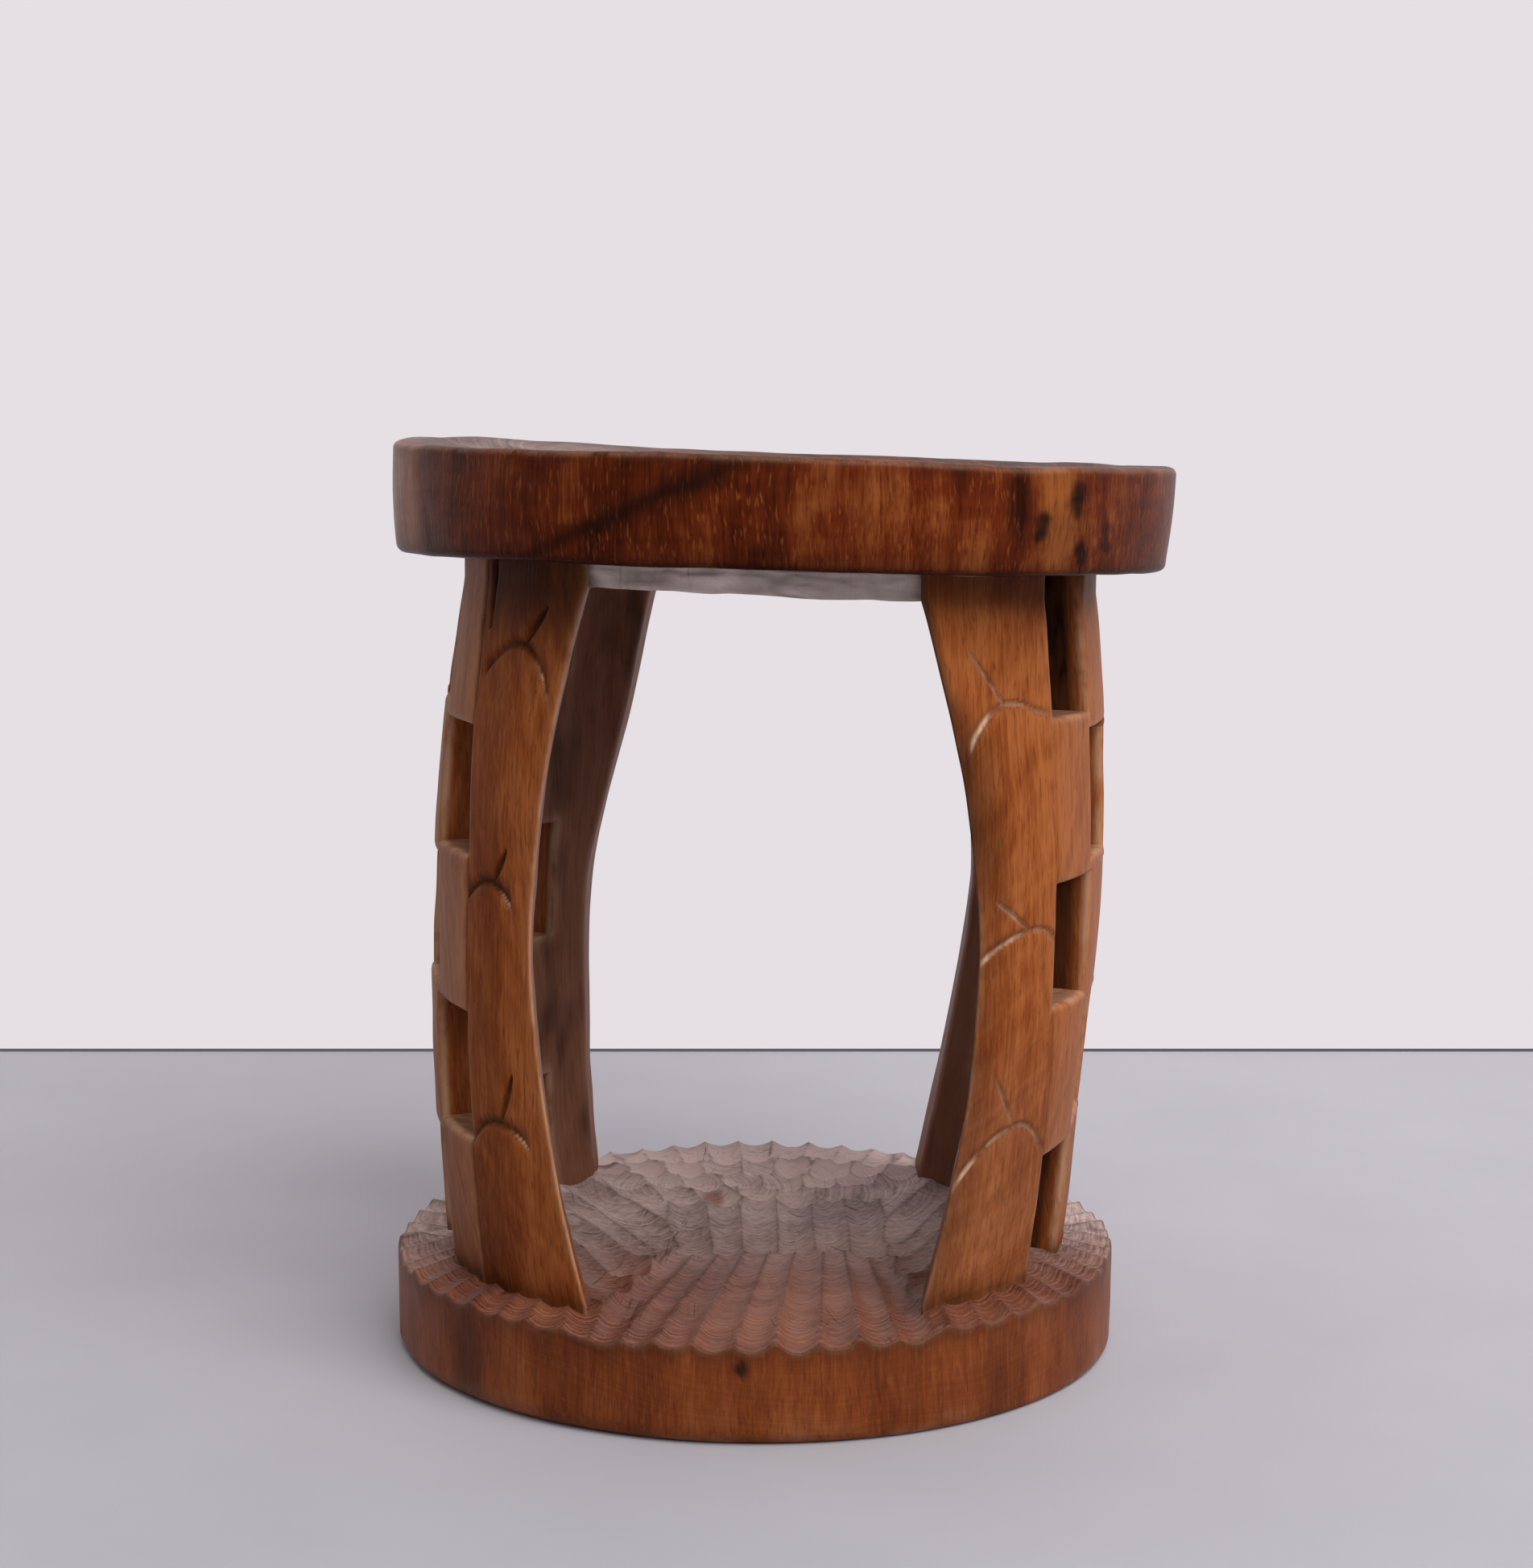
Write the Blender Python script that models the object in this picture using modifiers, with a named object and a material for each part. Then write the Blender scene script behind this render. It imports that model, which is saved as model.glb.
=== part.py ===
"""Carved round stool: a dished seat and a round base, joined by four curved, pierced legs.

Metres, +Z up. The origin is the middle of the base's underside, and the front faces -Y.
Each leg is half of a side wall, so the two legs of one side meet edge to edge. Stub tenons on
the legs sit in blind mortises in the base and the seat.
"""

import math

import bmesh
import bpy
from mathutils import Matrix, Vector

# Base
BASE_LEDGE = 0.0218         # how far the base stands out past the legs
BASE_RIM_HEIGHT = 0.040
BASE_CROWN = 0.006          # rise from the rim to the flat that carries the legs
BASE_TAPER = 0.001          # how much the wall draws in towards the floor
BASE_FLOOR_ROUND = 0.004
BASE_RIM_ROUND = 0.0025

# Legs
LEG_LENGTH = 0.297          # shoulder to shoulder
LEG_THICKNESS = 0.024
LEG_RADIUS = 0.142          # outer face at the shoulders
LEG_SWELL = 0.0095          # how much further out the outer face stands halfway up
FRONT_ARCH_FOOT = 0.140     # width of the opening through the stool, at the front legs' feet
FRONT_ARCH_TOP = 0.136
REAR_ARCH_FOOT = 0.160
REAR_ARCH_TOP = 0.136
ARCH_MIDDLE = 0.186         # width halfway up, front and back
ARCH_POWER = 1.7            # a larger power makes the sides of the opening straighter

# Windows, a chequer of holes between a leg's plain post and the seam of two legs
LATTICE_ANGLE = 55.0        # degrees from the front or back of the stool to the first window
LATTICE_COLUMNS = 2
LATTICE_ROWS = 5
NECK_HEIGHT = 0.0065        # wood between the corners of neighbouring windows

# Joinery
TENON_SHOULDER = 0.007      # wood left round each tenon
TENON_DEPTH = 0.016
FIT_GAP = 0.0003            # clearance between pieces that touch
SHOULDER_FLAT = 0.004       # flat that runs on past the outer face of the legs

# Seat
SEAT_OVERHANG = 0.031       # how far the rim stands out past the legs
SEAT_RIM_HEIGHT = 0.044
SEAT_BOSS_DEPTH = 0.0125    # how far the middle of the seat hangs below its rim
SEAT_BOSS_TAPER = 0.0025    # how much the boss draws in towards the legs
SEAT_RIM_TAPER = 0.003      # how much the rim draws in towards its lower edge
SEAT_TOP_ROUND = 0.005
SEAT_LOWER_ROUND = 0.006
SEAT_LIP = 0.012            # flat rim round the dish
SEAT_DISH = 0.014
DISH_POWER = 2.4            # 2 makes the dish a parabola, more makes its bottom flatter

# Stance, how the hand-cut stool settles above its base
LEAN = 0.034                # shift towards +X for each metre of height
TWIST = 16.0                # degrees of turn for each metre of height

# Mesh steps
TURN_STEPS = 72
ROUND_STEPS = 3
DISH_STEPS = 8
POST_STEPS = 4
COLUMN_STEPS = 4
ROW_STEPS = 4
MERGE_DISTANCE = 0.00001
SHARP_ANGLE = 35.0          # degrees above which an edge is shaded sharp

# Wood colours and roughness
SEAT_WOOD = ((0.20, 0.075, 0.035), 0.45)
BASE_WOOD = ((0.27, 0.13, 0.06), 0.6)
LEG_WOOD = ((0.25, 0.11, 0.05), 0.5)

# Heights and radii that follow from the sizes above
BASE_TOP = BASE_RIM_HEIGHT + BASE_CROWN
LEG_FOOT = BASE_TOP + FIT_GAP
LEG_TOP = LEG_FOOT + LEG_LENGTH
LEG_MIDDLE = LEG_FOOT + LEG_LENGTH / 2
SEAT_UNDERSIDE = LEG_TOP + FIT_GAP
SEAT_RIM_BOTTOM = SEAT_UNDERSIDE + SEAT_BOSS_DEPTH
SEAT_RIM_TOP = SEAT_RIM_BOTTOM + SEAT_RIM_HEIGHT
BASE_RADIUS = LEG_RADIUS + BASE_LEDGE
SEAT_RADIUS = LEG_RADIUS + SEAT_OVERHANG
SHOULDER_RADIUS = LEG_RADIUS + SHOULDER_FLAT
TENON_RADIUS = LEG_RADIUS - LEG_THICKNESS / 2
TENON_THICKNESS = LEG_THICKNESS - 2 * TENON_SHOULDER
LATTICE_START = math.radians(LATTICE_ANGLE)
COLUMN_SWEEP = (math.pi / 2 - LATTICE_START) / LATTICE_COLUMNS
WINDOW_HEIGHT = (LEG_LENGTH - (LATTICE_ROWS - 1) * NECK_HEIGHT) / LATTICE_ROWS
BOTTOM_ROW = 0
TOP_ROW = LATTICE_ROWS - 1

# Each leg: side (+1 is +X), end (-1 is the front) and which cells of the chequer are open
LEGS = {
    "front_left_leg": (-1, -1, 1),
    "front_right_leg": (1, -1, 0),
    "rear_left_leg": (-1, 1, 0),
    "rear_right_leg": (1, 1, 1),
}


def clear_scene():
    """Remove every object of the open file."""
    for obj in list(bpy.data.objects):
        bpy.data.objects.remove(obj, do_unlink=True)


def new_collection(name):
    """Return a collection of this name, linked to the scene."""
    collection = bpy.data.collections.new(name)
    bpy.context.scene.collection.children.link(collection)
    return collection


def wood(name, color, roughness):
    """Return a plain wood material."""
    material = bpy.data.materials.new(name)
    material.use_nodes = True
    shader = material.node_tree.nodes["Principled BSDF"]
    shader.inputs["Base Color"].default_value = (*color, 1.0)
    shader.inputs["Roughness"].default_value = roughness
    shader.inputs["Metallic"].default_value = 0.0
    return material


def object_from_bmesh(name, bm, collection):
    """Turn a bmesh into a named object in a collection."""
    bmesh.ops.recalc_face_normals(bm, faces=bm.faces)
    mesh = bpy.data.meshes.new(name)
    bm.to_mesh(mesh)
    bm.free()
    obj = bpy.data.objects.new(name, mesh)
    collection.objects.link(obj)
    return obj


def turned(name, profile, collection):
    """Turn a profile of (radius, height) points, top to bottom, about +Z."""
    mesh = bpy.data.meshes.new(name)
    edges = [(i, i + 1) for i in range(len(profile) - 1)]
    mesh.from_pydata([(radius, 0.0, height) for radius, height in profile], edges, [])
    obj = bpy.data.objects.new(name, mesh)
    collection.objects.link(obj)
    screw = obj.modifiers.new("turn", "SCREW")
    screw.axis = "Z"
    screw.steps = TURN_STEPS
    screw.render_steps = TURN_STEPS
    screw.use_merge_vertices = True
    screw.merge_threshold = MERGE_DISTANCE
    return obj


def quarter_round():
    """Return the (cosine, sine) steps of a quarter turn from straight up to straight out."""
    angles = [math.pi / 2 * (1 - i / ROUND_STEPS) for i in range(ROUND_STEPS + 1)]
    return [(math.cos(angle), math.sin(angle)) for angle in angles]


def upper_round(radius, top, size):
    """Return profile points that round a top edge, going outwards and down."""
    return [(radius - size + size * c, top - size + size * s) for c, s in quarter_round()]


def lower_round(radius, bottom, size):
    """Return profile points that round a bottom edge, going down and inwards."""
    return [(radius - size + size * c, bottom + size - size * s) for c, s in reversed(quarter_round())]


def boolean(obj, other, operation):
    """Add a Boolean modifier that joins or cuts an object with another."""
    modifier = obj.modifiers.new(other.name, "BOOLEAN")
    modifier.operation = operation
    modifier.object = other


def bake(obj):
    """Replace an object's mesh by its evaluated mesh."""
    depsgraph = bpy.context.evaluated_depsgraph_get()
    mesh = bpy.data.meshes.new_from_object(obj.evaluated_get(depsgraph))
    obj.modifiers.clear()
    obj.data = mesh


def settle(obj):
    """Lean and twist everything above the base, more the higher it is, and tilt it to match."""
    for vertex in obj.data.vertices:
        x, y, z = vertex.co
        rise = z - LEG_FOOT
        if rise > 0.0:
            turn = math.radians(TWIST) * rise
            tilt = LEAN * min(1.0, rise / LEG_LENGTH)
            vertex.co = (
                x * math.cos(turn) + y * math.sin(turn) + LEAN * rise,
                y * math.cos(turn) - x * math.sin(turn),
                z - tilt * x,
            )


def leg_radius(height):
    """Outer radius of the legs: a shallow swell, widest halfway up."""
    level = (height - LEG_MIDDLE) / (LEG_LENGTH / 2)
    return LEG_RADIUS + LEG_SWELL * (1.0 - level * level)


def arch_half_width(height, end):
    """Half width of the opening through the stool, at its front or back end, widest halfway up."""
    foot, top = (FRONT_ARCH_FOOT, FRONT_ARCH_TOP) if end < 0 else (REAR_ARCH_FOOT, REAR_ARCH_TOP)
    level = (height - LEG_MIDDLE) / (LEG_LENGTH / 2)
    shoulder = top if level > 0.0 else foot
    return (ARCH_MIDDLE + (shoulder - ARCH_MIDDLE) * abs(level) ** ARCH_POWER) / 2


def leg_heights():
    """Heights of the grid lines up a leg: each row of windows in steps, with a neck between rows."""
    heights = []
    for row in range(LATTICE_ROWS):
        low = LEG_FOOT + row * (WINDOW_HEIGHT + NECK_HEIGHT)
        heights += [low + WINDOW_HEIGHT * i / ROW_STEPS for i in range(ROW_STEPS + 1)]
    return heights


def leg_azimuth(line, radius, height, end):
    """Angle of a grid line from the leg's own end of the stool: the post, then the window columns."""
    if line <= POST_STEPS:
        edge = math.asin(arch_half_width(height, end) / radius)
        return edge + (LATTICE_START - edge) * line / POST_STEPS
    seam = math.acos(FIT_GAP / 2 / radius)
    share = (line - POST_STEPS) / (COLUMN_STEPS * LATTICE_COLUMNS)
    return LATTICE_START + (seam - LATTICE_START) * share


def is_window(column, row, chequer):
    """Tell whether a place in the chequer is a window, with rows counted from the base."""
    return (column + row + chequer) % 2 == 0


def cell_is_open(column_cell, row_cell, chequer):
    """Tell whether a grid cell lies in a window."""
    row, step = divmod(row_cell, ROW_STEPS + 1)
    column = (column_cell - POST_STEPS) // COLUMN_STEPS
    return column >= 0 and step < ROW_STEPS and is_window(column, row, chequer)


def leg_sheet(name, side, end, chequer, collection):
    """Make a leg without tenons: a grid with windows, given thickness and bent to its place."""
    heights = leg_heights()
    columns = POST_STEPS + COLUMN_STEPS * LATTICE_COLUMNS
    rows = len(heights) - 1
    bm = bmesh.new()
    bmesh.ops.create_grid(bm, x_segments=columns, y_segments=rows, size=1.0)

    def grid_line(value, count):
        return (value + 1.0) / 2.0 * count

    holes = []
    for face in bm.faces:
        middle = face.calc_center_median()
        cell = (int(grid_line(middle.x, columns)), int(grid_line(middle.y, rows)))
        if cell_is_open(*cell, chequer):
            holes.append(face)
    bmesh.ops.delete(bm, geom=holes, context="FACES")

    inner = bmesh.ops.extrude_face_region(bm, geom=bm.faces[:])["geom"]
    inner = {item for item in inner if isinstance(item, bmesh.types.BMVert)}
    for vert in bm.verts:
        height = heights[round(grid_line(vert.co.y, rows))]
        radius = leg_radius(height) - (LEG_THICKNESS if vert in inner else 0.0)
        azimuth = leg_azimuth(round(grid_line(vert.co.x, columns)), radius, height, end)
        vert.co = (side * radius * math.sin(azimuth), end * radius * math.cos(azimuth), height)
    return object_from_bmesh(name, bm, collection)


def tenon_places(row, end, chequer):
    """Azimuth and width of a leg's tenons in an end row: one in the post, one in each solid column."""
    shoulder = LEG_FOOT if row == BOTTOM_ROW else LEG_TOP
    spans = [(math.asin(arch_half_width(shoulder, end) / TENON_RADIUS), LATTICE_START)]
    for column in range(LATTICE_COLUMNS):
        if not is_window(column, row, chequer):
            start = LATTICE_START + column * COLUMN_SWEEP
            spans.append((start, start + COLUMN_SWEEP))
    return [((a + b) / 2, (b - a) * TENON_RADIUS - 2 * TENON_SHOULDER) for a, b in spans]


def add_tenons(bm, leg, row, low, high, grow):
    """Add a leg's tenons in an end row, from one height to another, as boxes grown by a clearance."""
    side, end, chequer = LEGS[leg]
    for azimuth, width in tenon_places(row, end, chequer):
        place = Vector((side * math.sin(azimuth), end * math.cos(azimuth), 0.0)) * TENON_RADIUS
        place.z = (low + high) / 2
        turn = Matrix.Rotation(math.atan2(place.y, place.x), 4, "Z")
        size = (TENON_THICKNESS + 2 * grow, width + 2 * grow, high - low, 1.0)
        matrix = Matrix.Translation(place) @ turn @ Matrix.Diagonal(size)
        bmesh.ops.create_cube(bm, size=1.0, matrix=matrix)


def finish(obj, material):
    """Give a piece its material and smooth its round faces."""
    obj.data.materials.append(material)
    obj.data.shade_smooth()
    obj.data.set_sharp_from_angle(angle=math.radians(SHARP_ANGLE))


def mark_cutter(obj):
    """Show a cutter as wire and keep it out of renders."""
    obj.display_type = "WIRE"
    obj.hide_render = True


def mortises(name, row, shoulder, collection):
    """Make the cutter for the mortises of every leg, at the height of their shoulders."""
    depth = TENON_DEPTH + FIT_GAP
    bm = bmesh.new()
    for leg in LEGS:
        add_tenons(bm, leg, row, shoulder - depth, shoulder + depth, FIT_GAP)
    cutter = object_from_bmesh(name, bm, collection)
    mark_cutter(cutter)
    return cutter


def make_base(parts, cutters):
    """Make the round base: flat where the legs stand, falling to a rim, with a rounded foot."""
    floor_radius = BASE_RADIUS - BASE_TAPER
    profile = [(0.0, BASE_TOP), (SHOULDER_RADIUS, BASE_TOP)]
    profile += upper_round(BASE_RADIUS, BASE_RIM_HEIGHT, BASE_RIM_ROUND)
    profile += lower_round(floor_radius, 0.0, BASE_FLOOR_ROUND)
    profile.append((0.0, 0.0))
    base = turned("base", profile, parts)
    cutter = mortises("base_mortises", BOTTOM_ROW, LEG_FOOT, cutters)
    boolean(base, cutter, "DIFFERENCE")
    finish(base, wood("base_wood", *BASE_WOOD))


def seat_profile():
    """Half section of the seat, from the middle of its dish to the middle of its underside."""
    lower_radius = SEAT_RADIUS - SEAT_RIM_TAPER
    dish_radius = SEAT_RADIUS - SEAT_TOP_ROUND - SEAT_LIP
    profile = []
    for i in range(DISH_STEPS + 1):
        share = i / DISH_STEPS
        sink = SEAT_DISH * (1 - share**DISH_POWER)
        profile.append((dish_radius * share, SEAT_RIM_TOP - sink))
    profile += upper_round(SEAT_RADIUS, SEAT_RIM_TOP, SEAT_TOP_ROUND)
    profile += lower_round(lower_radius, SEAT_RIM_BOTTOM, SEAT_LOWER_ROUND)
    boss = [(SHOULDER_RADIUS, SEAT_RIM_BOTTOM), (SHOULDER_RADIUS - SEAT_BOSS_TAPER, SEAT_UNDERSIDE)]
    return profile + boss + [(0.0, SEAT_UNDERSIDE)]


def make_seat(parts, cutters):
    """Make the dished seat, with mortises for the legs, and settle it with them."""
    seat = turned("seat", seat_profile(), parts)
    cutter = mortises("seat_mortises", TOP_ROW, LEG_TOP, cutters)
    boolean(seat, cutter, "DIFFERENCE")
    bake(seat)
    settle(seat)
    settle(cutter)
    finish(seat, wood("seat_wood", *SEAT_WOOD))


def make_leg(name, parts, cutters):
    """Make one leg: its pierced sheet and the tenons at both ends."""
    leg = leg_sheet(name, *LEGS[name], parts)
    bm = bmesh.new()
    add_tenons(bm, name, BOTTOM_ROW, LEG_FOOT - TENON_DEPTH, LEG_FOOT + TENON_SHOULDER, 0.0)
    add_tenons(bm, name, TOP_ROW, LEG_TOP - TENON_SHOULDER, LEG_TOP + TENON_DEPTH, 0.0)
    tenons = object_from_bmesh(name + "_tenons", bm, cutters)
    mark_cutter(tenons)
    boolean(leg, tenons, "UNION")
    bake(leg)
    settle(leg)
    settle(tenons)
    finish(leg, wood(name + "_wood", *LEG_WOOD))


def main():
    """Build the stool."""
    clear_scene()
    parts = new_collection("carved_stool")
    cutters = new_collection("carved_stool_cutters")
    make_base(parts, cutters)
    make_seat(parts, cutters)
    for name in LEGS:
        make_leg(name, parts, cutters)


main()
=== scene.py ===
"""Dressing of a carved stool: hand-cut seat, pierced legs and gouged base, in worn waxed wood."""

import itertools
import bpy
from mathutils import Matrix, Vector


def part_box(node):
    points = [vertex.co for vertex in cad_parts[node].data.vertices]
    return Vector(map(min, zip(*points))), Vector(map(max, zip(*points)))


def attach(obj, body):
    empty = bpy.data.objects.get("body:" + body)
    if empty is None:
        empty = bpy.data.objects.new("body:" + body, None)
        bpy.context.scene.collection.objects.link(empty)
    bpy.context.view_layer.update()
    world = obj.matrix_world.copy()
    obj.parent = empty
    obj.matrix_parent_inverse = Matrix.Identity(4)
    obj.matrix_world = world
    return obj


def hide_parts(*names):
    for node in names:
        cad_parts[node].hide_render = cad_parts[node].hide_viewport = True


bl_info = {
    "name": "Carved Stool",
    "version": (1, 0, 0),
    "blender": (4, 5, 0),
    "location": "3D View > Sidebar > Stool",
    "description": "Builds the carved wood of a round stool with pierced walls, and a plain studio",
    "category": "Add Mesh",
}

import bpy
import numpy as np
from bpy.props import FloatProperty, FloatVectorProperty, IntProperty, PointerProperty
from mathutils import Vector

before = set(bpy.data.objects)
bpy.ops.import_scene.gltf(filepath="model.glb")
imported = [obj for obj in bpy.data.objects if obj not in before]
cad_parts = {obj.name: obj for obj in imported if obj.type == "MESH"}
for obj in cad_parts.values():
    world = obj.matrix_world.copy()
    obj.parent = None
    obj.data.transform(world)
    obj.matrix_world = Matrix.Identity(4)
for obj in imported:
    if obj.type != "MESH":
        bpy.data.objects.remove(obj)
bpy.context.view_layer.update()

# Each leg: its side of the stool, its end, and which of the two chequers its windows follow.
LEGS = {
    "front_left_leg": (-1, -1, 1),
    "front_right_leg": (1, -1, 0),
    "rear_left_leg": (-1, 1, 0),
    "rear_right_leg": (1, 1, 1),
}

# Thumbnail cuts on a post, from the top down, for each chequer. Degrees from the open end, and
# metres of height: the crest of the cut, its end by the arch, its end by the windows, and the top
# of the slit that runs down to the crest.
POST_CUTS = {
    1: (
        ((43.5, 0.318), (35.5, 0.297), (53, 0.305), (37, 0.335)),
        ((49, 0.219), (42.5, 0.209), (55.5, 0.209), (44, 0.234)),
        ((48, 0.117), (39.5, 0.109), (55.5, 0.104), (43, 0.139)),
    ),
    0: (
        ((45.5, 0.3005), (36.5, 0.281), (54.5, 0.292), (37.5, 0.323)),
        ((51, 0.2035), (38, 0.192), (56, 0.198), (41, 0.219)),
        ((48.5, 0.1185), (34, 0.096), (56, 0.102), (42, 0.142)),
    ),
}
CUT_DEPTH, SLIT_DEPTH, SPLIT_DEPTH = 0.0025, 0.0024, 0.006

# Splits that open towards the top of a post, for each chequer: degrees, height from and to, and
# half width.
POST_SPLITS = {1: ((55.6, 0.322, 0.352, 0.0026), (52.2, 0.322, 0.346, 0.0020)), 0: ()}

# Rows of gouge strokes inside the walls: how many, where the first and last begin, where they stop,
# the depth at the start and at the stop, how far the floor rises at the stop, and the trough's
# radius. Metres seen from above, with the front at -Y.
GOUGE_ROWS = (
    (9, (-0.069, -0.172), (0.069, -0.172), (-0.030, -0.020), (0.056, -0.030),
     (0.0052, 0.0030), 0.026, 0.0105),
    (6, (-0.034, 0.054), (0.052, 0.060), (-0.028, -0.040), (0.050, -0.048),
     (0.0020, 0.0056), 0.010, 0.0125),
    (4, (-0.092, 0.082), (-0.082, -0.030), (-0.036, -0.026), (-0.057, -0.100),
     (0.0020, 0.0052), 0.012, 0.0160),
    (4, (0.094, 0.075), (0.086, -0.045), (0.060, -0.022), (0.064, -0.100),
     (0.0018, 0.0046), 0.012, 0.0190),
    (11, (-0.092, 0.166), (0.092, 0.166), (-0.074, 0.116), (0.074, 0.118),
     (0.0030, 0.0048), 0.010, 0.0140),
    (9, (-0.082, 0.124), (0.082, 0.126), (-0.068, 0.092), (0.070, 0.092),
     (0.0016, 0.0052), 0.010, 0.0160),
    (8, (-0.074, 0.100), (0.076, 0.100), (-0.058, 0.066), (0.064, 0.068),
     (0.0016, 0.0052), 0.010, 0.0160),
    (7, (-0.066, 0.074), (0.062, 0.076), (-0.048, 0.038), (0.054, 0.044),
     (0.0016, 0.0052), 0.010, 0.0160),
)
RIM_STROKES = 22
CHIP_LENGTHS = (0.006, 0.012)

# Stains and knots: the middle, the reach along each axis and the strength. Metres.
BASE_STAINS = (
    ((-0.0047, -0.1637, 0.033), (0.0030, 0.010, 0.0035), 0.95),
    ((-0.122, -0.109, 0.016), (0.007, 0.020, 0.030), 0.45),
    ((0.045, 0.033, 0.042), (0.0035, 0.0025, 0.010), 0.70),
    ((0.036, 0.042, 0.042), (0.020, 0.024, 0.020), 0.22),
    ((-0.077, 0.118, 0.042), (0.008, 0.004, 0.020), 0.70),
    ((0.104, -0.126, 0.020), (0.012, 0.020, 0.030), 0.20),
)
SEAT_STAINS = (
    ((0.1300, -0.126, 0.3815), (0.0036, 0.020, 0.0074), 1.0),
    ((0.1145, -0.139, 0.3715), (0.0036, 0.020, 0.0056), 1.0),
    ((0.1325, -0.124, 0.3600), (0.0030, 0.020, 0.0060), 1.0),
    ((0.1440, -0.113, 0.3660), (0.0020, 0.020, 0.0080), 0.8),
    ((0.1240, -0.130, 0.3650), (0.0150, 0.030, 0.0140), 0.30),
    ((0.1060, -0.142, 0.3800), (0.0055, 0.030, 0.0260), 0.40),
    ((0.1540, -0.100, 0.3720), (0.0050, 0.030, 0.0260), 0.25),
)

# Patch of the base's top where the grey is rubbed off: its middle and its reach. Metres.
BARE_PATCH = ((-0.021, 0.054, 0.042), (0.005, 0.012, 0.020))

# Masks that every piece carries as attributes, each from 0 to 1. Besides grain, dirt, stains and wear,
# some paint light: paler wood and grey sheen where light falls, darker wood where shade falls.
MASKS = ("edge", "hollow", "dry", "inner", "stain", "light", "end")

# Parts of the wood's figure, and how much of each a finish shows. Depth is the tone they add to.
FIGURE = ("Rings", "Fibre", "Bands", "Ripple", "Pores", "Flecks", "Patches", "Checks")
TONE_PARTS = ("Rings", "Fibre", "Bands", "Ripple", "Patches")
FINISHES = {
    "pierced_wood": {
        "Rings": 0.14, "Fibre": 0.26, "Bands": 0.12, "Ripple": 0.14, "Patches": 0.20, "Depth": 0.06,
        "Pores": 0.55, "Flecks": 0.30, "Wear": 0.95, "Gloss": 0.40, "Sheen": 0.04,
        "Ring Width": 0.0045, "Ring Cone": 0.25, "Ripple Scale": (260, 260, 70),
    },
    "polished_wood": {
        "Rings": 0.06, "Fibre": 0.16, "Bands": 0.08, "Ripple": 0.08, "Patches": 0.32, "Depth": 0.08,
        "Pores": 0.40, "Flecks": 0.45, "Wear": 0.30, "Gloss": 0.32, "Sheen": 0.04,
        "Ring Width": 0.0040, "Ring Cone": 0.03, "Ripple Scale": (42, 42, 170),
    },
    "gouged_wood": {
        "Rings": 0.05, "Fibre": 0.14, "Bands": 0.05, "Ripple": 0.08, "Patches": 0.24, "Depth": 0.20,
        "Pores": 0.35, "Flecks": 0.25, "Wear": 0.40, "Gloss": 0.38, "Sheen": 0.10,
        "Ring Width": 0.0016, "Ring Cone": 1.0, "Ripple Scale": (260, 260, 70),
    },
}

# The same for end grain, dull inner faces, dry grey wood and the grain's relief in every finish.
END_FIGURE, END_DEPTH = {"Rings": 0.32, "Fibre": 0.16, "Patches": 0.20}, 0.08
DULL_FIGURE = {"Fibre": 0.5, "Patches": 0.5}
GREY_FIGURE = {"Patches": 0.34, "Rings": 0.36, "Ripple": 0.30}
RELIEF_FIGURE = {"Fibre": 0.45, "Pores": -0.5, "Ripple": 0.20}

# Where the dark, middle and light tones stand on the scale of the figure's sum.
TONE_STOPS = (0.26, 0.50, 0.76)


def node_reach(node, axis):
    """Far side of a CAD node along an axis, to a tenth of a millimetre."""
    return round(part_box(node)[1][axis], 4)


def length_property(name, description, default):
    """Length property in metres."""
    return FloatProperty(name=name, description=description, default=default, unit="LENGTH")


def angle_property(name, description, degrees):
    """Angle property, its default given in degrees."""
    default = np.radians(degrees)
    return FloatProperty(name=name, description=description, default=default, subtype="ANGLE")


def colour_property(name, description, default):
    """Colour property in linear values."""
    return FloatVectorProperty(
        name=name, description=description, default=default, subtype="COLOR", size=3, min=0, max=1
    )


def place_property(name, description, default):
    """Place in the scene, in metres."""
    return FloatVectorProperty(
        name=name, description=description, default=default, subtype="TRANSLATION", unit="LENGTH"
    )


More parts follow.
